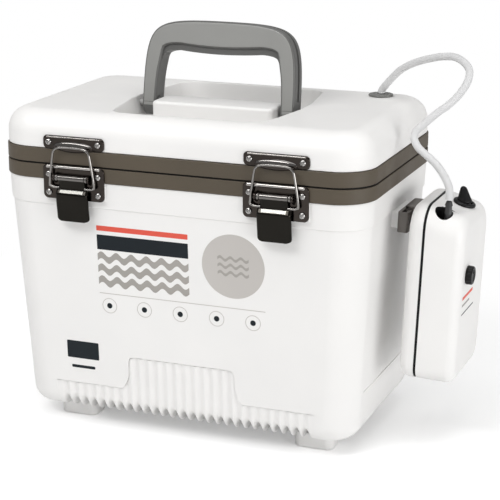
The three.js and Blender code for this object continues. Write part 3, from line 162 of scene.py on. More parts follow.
# What most of the chromes and the coloured inks share
chromeBase = {"grain": 900, "bump": 0.02, "metallic": 1}
inkBase = {"roughness": (0.4, 0.5), "grain": 2600, "bump": 0.1}
looks = {
    "shell_white": {"color": (0.85, 0.84, 0.825), "second": (0.82, 0.812, 0.80),
                    "roughness": (0.36, 0.5), "grain": 2600, "bump": 0.12, "wave": 0.03},
    "liner_white": {"color": (0.86, 0.86, 0.85), "second": (0.83, 0.83, 0.82),
                    "roughness": (0.28, 0.4), "grain": 1800, "bump": 0.06, "wave": 0.05},
    "trim_taupe": {"color": (0.092, 0.074, 0.052), "second": (0.080, 0.065, 0.046),
                   "roughness": (0.45, 0.58), "grain": 2400, "bump": 0.15, "wave": 0.02,
                   "specular": 0.35},
    "foam": {"color": (0.80, 0.72, 0.50), "second": (0.72, 0.64, 0.42),
             "roughness": (0.85, 0.95), "grain": 700, "bump": 0.8, "depth": 0.0008},
    "rubber_black": {"color": (0.004, 0.004, 0.0042), "second": (0.007, 0.007, 0.0073),
                     "roughness": (0.42, 0.56), "grain": 2200, "bump": 0.2, "specular": 0.2},
    "nipple_grey": {"color": (0.042, 0.042, 0.043), "second": (0.034, 0.034, 0.035),
                    "roughness": (0.28, 0.4), "grain": 2000, "bump": 0.1, "specular": 0.4},
    "handle_grey": {"color": (0.28, 0.28, 0.268), "second": (0.256, 0.256, 0.246),
                    "roughness": (0.34, 0.46), "grain": 2200, "bump": 0.15, "wave": 0.03},
    # A darker copy of the handle's grey for its bevels, sides and grooves: painted shade
    "handle_painted_shade": {"color": (0.115, 0.115, 0.11), "second": (0.10, 0.10, 0.096),
                   "roughness": (0.36, 0.48), "grain": 2200, "bump": 0.15, "wave": 0.03},
    "dark_chrome": {**chromeBase, "color": (0.024, 0.022, 0.019), "second": (0.018, 0.017, 0.015),
                    "roughness": (0.12, 0.2), "wave": 0.04},
    # A lighter copy of the dark chrome for the flat plates: painted sheen for the reflection they
    # catch
    "plate_chrome_painted_sheen": {**chromeBase, "color": (0.060, 0.051, 0.045), "second": (0.047, 0.040, 0.036),
                     "roughness": (0.14, 0.22), "wave": 0.04},
    "bracket_grey": {"color": (0.145, 0.132, 0.12), "second": (0.125, 0.114, 0.104),
                     "roughness": (0.4, 0.52), "grain": 2400, "bump": 0.15, "specular": 0.4},
    "grommet_grey": {"color": (0.17, 0.17, 0.16), "second": (0.12, 0.12, 0.115),
                     "roughness": (0.22, 0.34), "grain": 1500, "bump": 0.05},
    "ink_dark": {"color": (0.008, 0.012, 0.016), "second": (0.010, 0.015, 0.019),
                 "roughness": (0.45, 0.55), "grain": 2600, "bump": 0.1, "specular": 0.2},
    "ink_grey": {**inkBase, "color": (0.33, 0.315, 0.29), "second": (0.36, 0.34, 0.315)},
    "ink_pale": {**inkBase, "color": (0.50, 0.475, 0.45), "second": (0.52, 0.495, 0.47)},
    "ink_red": {**inkBase, "color": (0.72, 0.085, 0.05), "second": (0.69, 0.08, 0.047)},
    "bail_chrome": {**chromeBase, "color": (0.30, 0.285, 0.27), "second": (0.24, 0.23, 0.22),
                    "roughness": (0.08, 0.14)},
    # Painted highlight: a brighter chrome for the band across the lever's bend
    "kink_painted_highlight": {**chromeBase, "color": (0.20, 0.197, 0.182), "second": (0.18, 0.177, 0.165),
                    "roughness": (0.24, 0.3)},
    # The washers' own chrome, also laid on the knuckle and the keeper bulge's top as a painted
    # highlight
    "mid_chrome_and_painted_highlight": {**chromeBase, "color": (0.20, 0.19, 0.18), "second": (0.16, 0.152, 0.145),
                   "roughness": (0.12, 0.18)},
    # Painted highlight: a bright chrome for the base's roll and the keeper's top edge line
    "roll_painted_highlight": {**chromeBase, "color": (0.46, 0.44, 0.42), "second": (0.40, 0.38, 0.36),
                    "roughness": (0.1, 0.16)},
    "screw_steel": {"color": (0.46, 0.45, 0.44), "second": (0.38, 0.37, 0.36),
                    "roughness": (0.16, 0.28), "grain": 1500, "bump": 0.04, "metallic": 1},
    "plain_steel": {"color": (0.56, 0.56, 0.55), "second": (0.48, 0.48, 0.47),
                    "roughness": (0.28, 0.4), "grain": 1600, "bump": 0.08, "metallic": 1},
    "black_plastic": {"color": (0.006, 0.006, 0.0063), "second": (0.009, 0.009, 0.0094),
                      "roughness": (0.28, 0.4), "grain": 2000, "bump": 0.12, "specular": 0.25},
    "stone": {"color": (0.30, 0.40, 0.47), "second": (0.22, 0.31, 0.38),
              "roughness": (0.9, 0.98), "grain": 900, "bump": 0.9, "depth": 0.0006},
    "cell_wrap": {"color": (0.46, 0.30, 0.08), "second": (0.40, 0.26, 0.07),
                  "roughness": (0.25, 0.32), "grain": 1200, "bump": 0.03},
    "contact_brass": {"color": (0.68, 0.50, 0.22), "second": (0.60, 0.43, 0.18),
                      "roughness": (0.25, 0.36), "grain": 1500, "bump": 0.05, "metallic": 1},
}
materials = {name: moulded(name, look) for name, look in looks.items()}


# The air hose is milky, half clear vinyl
def hoseMaterial():
    look = {"color": (0.67, 0.67, 0.672), "second": (0.64, 0.64, 0.642), "patch": (25, 1)}
    material, nodes, links, shader = newMaterial("clear_hose")
    twoTones(nodes, links, shader, look, look["patch"])
    withInputs(shader, {"Roughness": 0.5, "Specular IOR Level": 0.3,
                        "Transmission Weight": 0.03, "IOR": 1.4})
    return material


materials["clear_hose"] = hoseMaterial()
slotOf = {row["node"]: row["material_slot"] for row in frame["record"]["subparts"]}
for nodeName, nodeObject in frame["nodes"].items():
    nodeObject.data.materials.clear()
    nodeObject.data.materials.append(materials[slotOf[nodeName]])
print("materials made")


# Mesh helpers

def cornerArc(corners, index, steps):
    x, y, radius = corners[index]
    here = Vector((x, y))
    toBefore = (Vector(corners[index - 1][:2]) - here).normalized()
    toAfter = (Vector(corners[(index + 1) % len(corners)][:2]) - here).normalized()
    half = toBefore.angle(toAfter) / 2
    centre = here + (toBefore + toAfter).normalized() * radius / math.sin(half)
    start = here + toBefore * radius / math.tan(half) - centre
    sweep = math.pi - 2 * half
    return [centre + Matrix.Rotation(sweep * step / steps, 2) @ start
            for step in range(steps + 1)]


# Points round an anticlockwise outline whose corners are (x, y, radius)
def outlineOf(corners, steps=10):
    return [point for index in range(len(corners)) for point in cornerArc(corners, index, steps)]


def rectangle(left, right, low, high, radius, steps=10):
    return outlineOf([(right, high, radius), (left, high, radius), (left, low, radius),
                      (right, low, radius)], steps)


# Angles through a quarter turn
def quarter(steps):
    return [math.pi / 2 * step / steps for step in range(steps + 1)]


# A share kept between 0 and 1 and eased at both ends
def eased(share):
    share = min(max(share, 0), 1)
    return share * share * (3 - 2 * share)


# Turns all faces outward
def turnedOut(bm):
    bmesh.ops.recalc_face_normals(bm, faces=bm.faces)


# Joins corners that lie together
def welded(bm, within=1e-4):
    bmesh.ops.remove_doubles(bm, verts=bm.verts, dist=within)


# A closed tower: a first face, then one extrusion for each further level
def tower(bm, levels):
    height, points = levels[0]
    order = bm.verts.layers.int.get("order") or bm.verts.layers.int.new("order")
    made = bmesh.ops.create_circle(bm, cap_ends=True, segments=len(points), radius=1)
    for index, vert in enumerate(made["verts"]):
        vert[order] = index
        vert.co = (*points[index], height)
    first = made["verts"][0].link_faces[0]
    cap = first
    for height, points in levels[1:]:
        grown = bmesh.ops.extrude_face_region(bm, geom=[cap])
        nextCap = next(item for item in grown["geom"] if isinstance(item, bmesh.types.BMFace))
        if cap.is_valid and cap is not first:
            bm.faces.remove(cap)
        cap = nextCap
        for vert in cap.verts:
            vert.co = (*points[vert[order]], height)
    turnedOut(bm)
    return first, cap


# A closed ring: a tower whose last level meets its first
def ringTower(bm, levels):
    first, last = tower(bm, [*levels, levels[0]])
    bmesh.ops.delete(bm, geom=[first, last], context="FACES_ONLY")
    welded(bm)
    turnedOut(bm)


# A profile of (radius, height) spun round Z
def lathe(bm, profile, steps=32):
    verts = [bm.verts.new((radius, 0, height)) for radius, height in profile]
    edges = [bm.edges.new(pair) for pair in zip(verts, verts[1:])]
    bmesh.ops.spin(bm, geom=verts + edges, cent=(0, 0, 0), axis=(0, 0, 1),
                   angle=2 * math.pi, steps=steps, use_merge=True)
    welded(bm)
    turnedOut(bm)


def box(bm, low, high, bevel=0.0, segments=3):
    made = bmesh.ops.create_cube(bm, size=1)
    size = [b - a for a, b in zip(low, high)]
    middle = [(a + b) / 2 for a, b in zip(low, high)]
    bmesh.ops.scale(bm, vec=size, verts=made["verts"])
    bmesh.ops.translate(bm, vec=middle, verts=made["verts"])
    if bevel:
        edges = list({edge for vert in made["verts"] for edge in vert.link_edges})
        bmesh.ops.bevel(bm, geom=edges, offset=bevel, offset_type="OFFSET", segments=segments,
                        profile=0.5, affect="EDGES", material=-1)


def rod(bm, radius, start, end, sides=24, bevel=0.0):
    start, end = Vector(start), Vector(end)
    way = end - start
    turn = way.to_track_quat("Z", "Y").to_matrix().to_4x4()
    made = bmesh.ops.create_cone(bm, cap_ends=True, segments=sides, radius1=radius,
                                 radius2=radius, depth=way.length,
                                 matrix=Matrix.Translation((start + end) / 2) @ turn)
    if bevel:
        rims = list({edge for vert in made["verts"] for edge in vert.link_edges
                     if edge.calc_face_angle(0) > 1})
        bmesh.ops.bevel(bm, geom=rims, offset=bevel, offset_type="OFFSET", segments=3,
                        profile=0.5, affect="EDGES", material=-1)


# A rod along X between two ends
def rodX(bm, radius, ends, y, z, sides=24, bevel=0.0):
    left, right = sorted(ends)
    rod(bm, radius, (left, y, z), (right, y, z), sides, bevel)


# A copy of a solid in its own place, in metres
def solidCopy(nodeName):
    bm = bmesh.new()
    bm.from_mesh(frame["nodes"][nodeName].data)
    welded(bm, 1e-7)
    return bm


# Adds one bmesh's faces to another
def absorb(bm, other):
    mesh = bpy.data.meshes.new("part")
    other.to_mesh(mesh)
    other.free()
    bm.from_mesh(mesh)
    bpy.data.meshes.remove(mesh)


def objectOf(name, bm, matrix):
    bmesh.ops.transform(bm, matrix=matrix, verts=bm.verts)
    mesh = bpy.data.meshes.new(name)
    bm.to_mesh(mesh)
    bm.free()
    made = bpy.data.objects.new(name, mesh)
    scene.collection.objects.link(made)
    return made


# Cuts or joins one object with another by a boolean, and keeps the result as its mesh
def carve(target, tool, operation="DIFFERENCE"):
    cut = target.modifiers.new("cut", "BOOLEAN")
    cut.operation = operation
    cut.solver = "EXACT"
    cut.object = tool
    bpy.context.view_layer.update()
    evaluated = target.evaluated_get(bpy.context.evaluated_depsgraph_get())
    mesh = bpy.data.meshes.new_from_object(evaluated)
    target.modifiers.clear()
    target.data = mesh
    bpy.data.objects.remove(tool)


def shaded(made, sharp):
    mesh = made.data
    bm = bmesh.new()
    bm.from_mesh(mesh)
    for face in bm.faces:
        face.smooth = True
    for edge in bm.edges:
        edge.smooth = edge.calc_face_angle(0) < math.radians(sharp)
    bm.to_mesh(mesh)
    bm.free()


def weighted(made, weight=80):
    modifier = made.modifiers.new("weighted", "WEIGHTED_NORMAL")
    modifier.keep_sharp = True
    modifier.weight = weight


def softened(made, width, segments=3, angle=35):
    modifier = made.modifiers.new("edges", "BEVEL")
    modifier.limit_method = "ANGLE"
    modifier.angle_limit = math.radians(angle)
    modifier.width = width * mm
    modifier.segments = segments


# Finishes a piece: shading, material, body and the nodes it stands for
def settle(made, body, slotName, nodes=(), sharp=35, weigh=False, material=None):
    shaded(made, sharp)
    made.data.materials.clear()
    made.data.materials.append(materials[material or slotName])
    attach(made, body)
    if nodes:
        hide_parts(*nodes)
    if weigh:
        weighted(made)
    return made


# Places a bmesh and finishes it
def piece(name, bm, body, slotName, nodes=(), sharp=35, weigh=False, material=None,
          place=intoFrame):
    return settle(objectOf(name, bm, place), body, slotName, nodes, sharp, weigh, material)


# A smooth tube of even thickness along points, closed at its ends
def tubeObject(name, points, radius, matrix, sides=8):
    curve = bpy.data.curves.new(name, "CURVE")
    curve.dimensions = "3D"
    curve.bevel_depth = radius
    curve.bevel_resolution = sides
    curve.use_fill_caps = True
    spline = curve.splines.new("POLY")
    spline.points.add(len(points) - 1)
    for knot, point in zip(spline.points, points):
        knot.co = (*point, 1)
    holder = bpy.data.objects.new(name, curve)
    scene.collection.objects.link(holder)
    bpy.context.view_layer.update()
    mesh = bpy.data.meshes.new_from_object(holder)
    bpy.data.objects.remove(holder)
    bm = bmesh.new()
    bm.from_mesh(mesh)
    welded(bm)
    turnedOut(bm)
    bpy.data.meshes.remove(mesh)
    return objectOf(name, bm, matrix)


# Points of a smooth curve through a route
def smoothRoute(route, steps=6):
    knots = [Vector(point) for point in route]
    knots = [2 * knots[0] - knots[1], *knots, 2 * knots[-1] - knots[-2]]
    points = []
    for before, start, end, after in zip(knots, knots[1:], knots[2:], knots[3:]):
        firstHandle = start + (end - before) / 6
        lastHandle = end - (after - start) / 6
        points += interpolate_bezier(start, firstHandle, lastHandle, end, steps + 1)[:-1]
    return [*points, knots[-2]]


# Air hose

hose = {
    "radius": 3,
    "steps": 6,
    "lower": [
        (199.75, -28.5, 204.7), (199.8, -28.5, 208.5), (198.8, -28, 215.2), (193.8, -27, 224),
        (186.7, -25, 231.5), (177.9, -22, 237.2), (171.6, -20, 241.8), (167.6, -17, 247.5),
        (168.2, -15, 252.5), (173.2, -13, 257.8), (182.9, -9, 267), (189.9, -5.2, 272.4),
        (195, -1.5, 277.6), (196.5, -0.1, 279.57),
    ],
    "upper": [
        (196.75, 0.14, 279.92), (198.2, 1.5, 281.9), (201.1, 6, 287.5), (201.8, 12, 292.8),
        (199.8, 19, 297.8), (193.2, 26, 302.2), (184.1, 33, 304.2), (172.6, 40, 302.7),
        (161, 47, 299.5), (146.8, 54, 294.3), (134.4, 60, 287.5), (124.9, 64, 278.9),
        (118, 66.4, 271), (115.6, 67, 267.6), (115.4, 67, 265.6),
    ],
    "inner": [
        (115, 67, 264.4), (115, 67, 240), (115, 67, 212), (114, 65, 170), (111, 61, 120),
        (106, 57, 75), (96, 54, 48), (78, 51, 37), (55, 48.5, 34.5), (32, 46.5, 35.4),
        (12, 46, 37.3), (8.3, 46, 37.3),
    ],
}


def lengthOf(points):
    return sum((b - a).length for a, b in zip(points, points[1:]))


def hoseLength(name, path, nodeName):
    made = tubeObject(name, path, hose["radius"], intoFrame)
    shaded(made, 60)
    made.data.materials.clear()
    made.data.materials.append(materials["clear_hose"])
    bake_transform(made)
    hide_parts(nodeName)
    print(name, round(lengthOf(path), 1), "mm long")


stone = {
    "start": (-24, 46, 37.3),
    "profile": [(0, 0), (5.6, 0), (6.6, 0.5), (7, 1.4), (7, 26.6), (6.6, 27.5), (5.6, 28),
                (3, 28), (3, 31.8), (0, 31.8)],
}


def airStone():
    bm = bmesh.new()
    lathe(bm, stone["profile"])
    place = Matrix.Translation(stone["start"]) @ Matrix.Rotation(math.pi / 2, 4, "Y")
    piece("air_stone_fine", bm, "tub", "stone", ["air_stone"], place=intoFrame @ place)


airStone()
outerPath = smoothRoute([*hose["lower"], *hose["upper"][1:]], hose["steps"])
halfway = hose["steps"] * (len(hose["lower"]) - 1)
hoseLength("air_hose_lower_fine", outerPath[:halfway + 1], "air_hose_lower")
hoseLength("air_hose_upper_fine", outerPath[halfway:], "air_hose_upper")
hoseLength("air_hose_inner_fine", smoothRoute(hose["inner"], hose["steps"]), "air_hose_inner")
print("cords made")

# Tub

tub = {
    "halfLength": 155,
    "halfWidth": 97.5,
    "corner": 30,
    "leastCorner": 8,
    "height": 221.2,
    "floor": 13,
    "round": 14,
    "wall": 1,
    "collarBottom": 189.4,
    "collarStep": 1,
    "collarSlope": (0.8, 0.3),
    "bandBottom": 210,
    "draft": 0.056,
    "skin": 3,
    "legInset": 3.3,
    "seat": 2.8,
    "rim": 20,
}


def boxOutline(inset, radius=None):
    if radius is None:
        radius = max(tub["corner"] - inset, tub["leastCorner"])
    x, y = tub["halfLength"] - inset, tub["halfWidth"] - inset
    return rectangle(-x, x, -y, y, radius, 12)


def wallInset(height):
    step = tub["collarStep"] if height < tub["collarBottom"] else 0
    return tub["wall"] + step + tub["draft"] * (tub["bandBottom"] - height)


def bottomLevels(offset, steps=8):
    top = tub["floor"] + tub["round"]
    radius = tub["round"] - offset
    levels = []
    for angle in quarter(steps):
        inset = wallInset(top) + offset + radius * (1 - math.sin(angle))
        levels.append((top - radius * math.cos(angle),
                       boxOutline(inset, tub["corner"] - inset + tub["round"] / 2)))
    return levels


# The ribbed field in the front wall: its outline, then its ribs, whose valleys deepen from depth
# to tip round the bottom edge while their crests sharpen from the first power to the second
field = {
    "half": 112,
    "shoulder": 37.5,
    "top": 65.5,
    "flat": 40,
    "foot": 52,
    "pitch": 8,
    "depth": 1.45,
    "tip": 9,
    "powers": (2.0, 0.8),
    "crest": 0.3,
    "shadow": 0.7,
    "heights": (82, 40, 33),
    "bendSteps": 14,
    "sooner": 1.25,
    "under": ((8, 9), (22, 9), (30, 1)),
    "acrossSteps": 12,
    "behind": 0.9,
    "backing": 1.4,
    "overrun": (90, 20, 9),
}


def shoulderCurve(steps=16):
    bend = (field["top"] - field["shoulder"]) / 2
    knots = [(field["foot"], field["shoulder"]), (field["flat"], field["shoulder"] + bend),
             (field["foot"], field["top"]), (field["flat"], field["top"])]
    return [Vector(point).to_2d() for point in
            interpolate_bezier(*(Vector((*knot, 0)) for knot in knots), steps + 1)]


shoulderPoints = shoulderCurve()


# The field's top edge at a distance from the middle
def fieldTop(x):
    x = abs(x)
    if x <= shoulderPoints[-1].x:
        return field["top"]
    for start, end in zip(shoulderPoints, shoulderPoints[1:]):
        if end.x <= x <= start.x and start.x > end.x:
            share = (start.x - x) / (start.x - end.x)
            return start.y + share * (end.y - start.y)
    return field["shoulder"]


# The front wall's own outline seen from the side: a depth and height, and the way out
def frontStation(angle, height=None):
    bend = tub["floor"] + tub["round"]
    if height is not None:
        return Vector((0, -tub["halfWidth"] + wallInset(height), height)), Vector((0, -1, 0))
    centre = Vector((0, -tub["halfWidth"] + wallInset(bend) + tub["round"], bend))
    way = Vector((0, -math.cos(angle), -math.sin(angle)))
    return centre + way * tub["round"], way


# Places down the wall and under the tub: point, way out, depth of the valleys and their power
def ribStations():
    shallow, deep = field["depth"], field["tip"]
    blunt, sharp = field["powers"]
    stations = [(*frontStation(0, height), shallow, blunt) for height in field["heights"]]
    for step in range(field["bendSteps"] + 1):
        share = step / field["bendSteps"]
        ease = eased(field["sooner"] * share)
        stations.append((*frontStation(math.pi / 2 * share), shallow + (deep - shallow) * ease,
                         blunt + (sharp - blunt) * ease))
    point, way = stations[-1][:2]
    for reach, depth in field["under"]:
        stations.append((point + Vector((0, reach, 0)), way, depth, sharp))
    return stations


# A prism of an outline in X and Z, from one Y to another
def prismY(bm, points, front, back):
    part = bmesh.new()
    tower(part, [(0, points), (back - front, points)])
    turn = Matrix.Translation((0, back, 0)) @ Matrix.Rotation(math.pi / 2, 4, "X")
    bmesh.ops.transform(part, matrix=turn, verts=part.verts)
    absorb(bm, part)


layAlongX = Matrix(((0, 0, 1, 0), (1, 0, 0, 0), (0, 1, 0, 0), (0, 0, 0, 1)))


# A prism of an outline in Y and Z, from one X to another
def prismX(bm, points, left, right):
    part = bmesh.new()
    tower(part, [(left, points), (right, points)])
    bmesh.ops.transform(part, matrix=layAlongX, verts=part.verts)
    absorb(bm, part)


# The field that the ribs fill, sunk into the wall and round the bottom edge
def fieldTool():
    half = field["half"]
    reach, past, aside = field["overrun"]
    side = [(half, field["shoulder"])] + [tuple(point) for point in shoulderPoints]
    outline = side + [(-x, z) for x, z in reversed(side)] + [(-half, 0), (half, 0)]
    stations = ribStations()
    back = stations[-1][0].y
    pocket = bmesh.new()
    prismY(pocket, outline, back - reach, back)
    tool = objectOf("pocket", pocket, intoFrame)
    inner = [point - way * (depth + field["behind"]) for point, way, depth, _ in stations]
    profile = [(point.y, point.z) for point in inner]
    profile += [(back + past, inner[-1].z), (back + past, inner[0].z)]
    behind = bmesh.new()
    prismX(behind, profile, -half - aside, half + aside)
    carve(tool, objectOf("behind", behind, intoFrame))
    return tool


# The shallow panel in the right wall, behind the pump
recess = {"low": 51, "high": 141, "half": 66, "corner": 9, "depth": 0.6, "overrun": 4}


def recessTool():
    bm = bmesh.new()
    half = recess["half"]
    prismX(bm, rectangle(-half, half, recess["low"], recess["high"], recess["corner"]),
           -recess["depth"], recess["overrun"])
    lean = Matrix.Identity(4)
    lean[0][2] = tub["draft"]
    lean[0][3] = tub["halfLength"] - wallInset(0)
    bmesh.ops.transform(bm, matrix=lean, verts=bm.verts)
    return objectOf("recess", bm, intoFrame)


def tubShell():
    bm = bmesh.new()
    skin, leg, collar = tub["skin"], tub["legInset"], tub["collarBottom"]
    seatTop = tub["height"] - tub["seat"]
    below, slight = tub["collarSlope"]
    bandSeat = tub["bandBottom"] - slight
    levels = bottomLevels(0) + [
        (collar - below, boxOutline(wallInset(collar - below))),
        (collar - slight, boxOutline(wallInset(collar) + slight)),
        (collar + slight, boxOutline(wallInset(collar + slight))),
        (bandSeat, boxOutline(tub["wall"])),
        (bandSeat, boxOutline(leg)),
        (seatTop, boxOutline(leg)),
        (seatTop, boxOutline(leg + skin)),
        (collar, boxOutline(leg + skin)),
    ] + bottomLevels(skin)[::-1]
    tower(bm, levels)
    shell = objectOf("tub_shell_fine", bm, intoFrame)
    carve(shell, fieldTool())
    carve(shell, recessTool())
    settle(shell, "tub", "shell_white", ["tub_shell"], 32, True)


# Cuts in the foam behind the ribs: how deep and how high each one goes
foamCuts = {"low": 5, "aside": 4, "reach": ((26, 70), (62, 26))}


# The foam shows nowhere, but is cut back behind the ribs so that none of it stands through
def tubFoam():
    foam = objectOf("tub_foam_fine", solidCopy("tub_foam"), Matrix.Identity(4))
    front, half = -tub["halfWidth"], field["half"] + foamCuts["aside"]
    for deep, high in foamCuts["reach"]:
        cut = bmesh.new()
        box(cut, (-half, front, foamCuts["low"]), (half, front + deep, high))
        carve(foam, objectOf("cut", cut, intoFrame))
    settle(foam, "tub", "foam", ["tub_foam"], 35)


# Corrugated ribs: each one follows the wall down and round the bottom edge
def ribBars():
    bm = bmesh.new()
    stations = ribStations()
    pitch, steps, backing = field["pitch"], field["acrossSteps"], field["backing"]
    count = int(2 * field["half"] / pitch)
    for index in range(count):
        centre = (index - (count - 1) / 2) * pitch
        bar = bmesh.new()
        levels = []
        for order, (_, _, depth, power) in enumerate(stations):
            section = []
            for step in range(steps + 1):
                x = pitch * (step / steps - 0.5)
                ends = index == 0 and x < 0 or index == count - 1 and x > 0
                fall = 0 if ends else abs(math.sin(math.pi * x / pitch)) ** power
                section.append((centre + x, -field["crest"] - depth * fall))
            section += [(centre + pitch / 2, -depth - backing),
                        (centre - pitch / 2, -depth - backing)]
            levels.append((order, section))
        tower(bar, levels)
        for vert in bar.verts:
            x, rise, order = vert.co
            point, way, _, _ = stations[round(order)]
            if round(order) == 0:
                point, way = frontStation(0, fieldTop(x) - field["shadow"])
            vert.co = Vector((x, 0, 0)) + point + way * rise
        turnedOut(bar)
        absorb(bm, bar)
    piece("tub_ribs", bm, "tub", "shell_white", (), 50)


latchPlaces = {"left": -84.5, "right": 84.5}
pads = {"half": 26.5, "low": 195, "high": 210, "deep": 3.5, "edge": 0.8}


def latchPads():
    bm = bmesh.new()
    front = -tub["halfWidth"]
    for centre in latchPlaces.values():
        box(bm, (centre - pads["half"], front, pads["low"]),
            (centre + pads["half"], front + pads["deep"], pads["high"]), pads["edge"])
    piece("tub_latch_pads", bm, "tub", "shell_white", (), 35, True)


tubShell()
tubFoam()
ribBars()
latchPads()

feet = {
    "x": 104,
    "y": 54,
    "halfX": 16.5,
    "halfY": 11,
    "corner": 7,
    "levels": ((0, 1.6), (0.35, 0.7), (0.9, 0.2), (1.8, 0), (12.7, 0)),
}


def foot(name, x, y):
    bm = bmesh.new()
    levels = []
    for height, inset in feet["levels"]:
        halfX, halfY = feet["halfX"] - inset, feet["halfY"] - inset
        levels.append((height, rectangle(x - halfX, x + halfX, y - halfY, y + halfY,
                                         feet["corner"] - inset, 8)))
    tower(bm, levels)
    piece(f"{name}_fine", bm, "tub", "shell_white", [name], 35, True)


for depthWord, footY in (("front", -feet["y"]), ("rear", feet["y"])):
    for sideWord, footX in (("left", -feet["x"]), ("right", feet["x"])):
        foot(f"foot_{depthWord}_{sideWord}", footX, footY)

liner = {"floor": 30, "thick": 2, "bend": 8, "wallTop": 2.5, "flange": 9, "edge": 0.8}


def tubLiner():
    bm = bmesh.new()
    floor, thick, bend = liner["floor"], liner["thick"], liner["bend"]
    top = tub["height"] - tub["seat"]
    flange = boxOutline(tub["rim"] - liner["flange"])

    def wall(z):
        return tub["rim"] + tub["draft"] * (tub["height"] - liner["wallTop"] - z)

    inner = []
    for angle in quarter(6):
        z = floor + bend * (1 - math.cos(angle))
        inner.append((z, boxOutline(wall(z) + bend * (1 - math.sin(angle)),
                                    tub["leastCorner"])))
    levels = [
        (floor - thick, boxOutline(wall(floor) + bend - thick)),
        (floor + bend - thick, boxOutline(wall(floor + bend) - thick)),
        (top - thick, boxOutline(wall(top) - thick)),
        (top - thick, flange),
        (top, flange),
        (top, boxOutline(wall(top) - liner["edge"])),
        (top - liner["edge"], boxOutline(wall(top))),
    ] + inner[::-1]
    tower(bm, levels)
    piece("tub_liner_fine", bm, "tub", "liner_white", ["tub_liner"], 35, True)


tubLiner()


# Printed marks: thin plain shapes that lie on the sloping front, each in its own ink
prints = {
    "sunk": -0.3,
    "proud": 0.07,
    "over": 0.1,
    "bar": (-68.5, 10, 155, 167.3),
    "stripe": (-68.5, 10, 170.6, 174.8),
    "rule": (-68.5, 73.5, 118, 118.6),
    "waves": (-68.5, 10, (128.4, 138.4, 148.4), 5.6, 2.1, 6),
    "disc": (47.5, 152.5, 26),
    "discWaves": (34.5, 60.5, (146.5, 152.5, 158.5), 2.4, 1.3, 3),
    "ringX": (-60, -29.5, 1.5, 32.5, 63),
    "ringZ": 108,
    "ring": (6.4, 5.9),
    "dot": 2.3,
    "sizeBar": (-100.5, -72, 59, 74),
    "sizeRule": (-97, -76, 50.5, 53),
    "corners": {"bar": 0.4, "stripe": 0.4, "rule": 0.2, "sizeBar": 0.8, "sizeRule": 0.8},
}


def printedMark(name, ink, outlines, holes=(), proud=prints["proud"]):
    bm = bmesh.new()
    sunk = prints["sunk"]
    for index, outline in enumerate(outlines):
        part = bmesh.new()
        if holes:
            ringTower(part, [(sunk, outline), (proud, outline), (proud, holes[index]),
                             (sunk, holes[index])])
        else:
            tower(part, [(sunk, outline), (proud, outline)])
        absorb(bm, part)
    for vert in bm.verts:
        x, z, rise = vert.co
        vert.co = (x, -tub["halfWidth"] + wallInset(z) - rise, z)
    piece(name, bm, "tub", "shell_white", (), 35, False, ink)


def disc(x, z, radius, steps=48):
    return [Vector((x + radius * math.cos(a), z + radius * math.sin(a)))
            for a in (2 * math.pi * index / steps for index in range(steps))]


# A wavy line of even thickness between two places along X
def wave(left, right, middle, thick, swing, crests, steps=12):
    count = steps * crests
    line = [(left + (right - left) * index / count,
             middle + swing * math.sin(2 * math.pi * index / steps)) for index in range(count + 1)]
    upper = [Vector((x, z + thick / 2)) for x, z in reversed(line)]
    return upper + [Vector((x, z - thick / 2)) for x, z in line]


def waves(left, right, heights, *shape):
    return [wave(left, right, height, *shape) for height in heights]


def patch(name, steps=3):
    return rectangle(*prints[name], prints["corners"][name], steps)


printedMark("print_bar", "ink_dark", [patch("bar")])
printedMark("print_stripe", "ink_red", [patch("stripe")])
printedMark("print_waves", "ink_grey", waves(*prints["waves"]))
printedMark("print_disc", "ink_pale", [disc(*prints["disc"], 96)])
printedMark("print_rule", "ink_pale", [patch("rule")])
rings = [(x, prints["ringZ"]) for x in prints["ringX"]]
outer, inner = prints["ring"]
printedMark("print_rings", "ink_pale", [disc(x, z, outer) for x, z in rings],
            [disc(x, z, inner) for x, z in rings])
printedMark("print_dots", "ink_dark", [disc(x, z, prints["dot"], 32) for x, z in rings])
printedMark("print_size", "ink_dark", [patch("sizeBar", 4), patch("sizeRule", 4)])
printedMark("print_disc_waves", "ink_grey", waves(*prints["discWaves"]), (), prints["over"])
print("tub made")

# Rim bands and rear hinges

band = {"leg": 3, "flange": 2.9, "round": 0.6, "seam": (221.55, 222.85), "ends": (210, 234.4)}
hinge = {
    "spacing": 169,
    "y": 102,
    "seam": 222.2,
    "radius": 4,
    "width": 10,
    "gap": 0.3,
    "edge": 0.5,
    "webRoot": 1.5,
    "webOut": 3.4,
    "web": (2, 8.5),
    "pin": 1.5,
    "pinHalf": 15.3,
    "pinEdge": 0.3,
}


def bandRing(bm, seamSide, legEnd):
    away = 1 if legEnd > seamSide else -1
    edge = band["round"]
    arc = [(edge * (1 - math.cos(a)), edge * (1 - math.sin(a))) for a in quarter(4)]
    levels = [(legEnd, band["leg"])]
    levels += [(legEnd - away * up, inset) for up, inset in arc]
    levels += [(seamSide + away * up, inset) for up, inset in reversed(arc)]
    levels += [(seamSide, tub["rim"]), (seamSide + away * band["flange"], tub["rim"]),
               (seamSide + away * band["flange"], band["leg"])]
    ringTower(bm, [(z, boxOutline(inset)) for z, inset in levels])


def knuckle(bm, centre, away):
    half = hinge["width"] / 2
    y, seam, wall = hinge["y"], hinge["seam"], tub["halfWidth"] - hinge["webRoot"]
    rodX(bm, hinge["radius"], (centre - half, centre + half), y, seam, 28, hinge["edge"])
    near, far = (seam + away * reach for reach in hinge["web"])
    web = [(wall, near), (y + hinge["webOut"], near), (wall, far)]
    prismX(bm, web, centre - half, centre + half)


def rimBand(name, body, seamSide, legEnd, offsets):
    bm = bmesh.new()
    bandRing(bm, seamSide, legEnd)
    away = 1 if legEnd > seamSide else -1
    for place in (-1, 1):
        for offset in offsets:
            knuckle(bm, place * hinge["spacing"] / 2 + offset, away)
    piece(f"{name}_fine", bm, body, "trim_taupe", [name], 35, True)


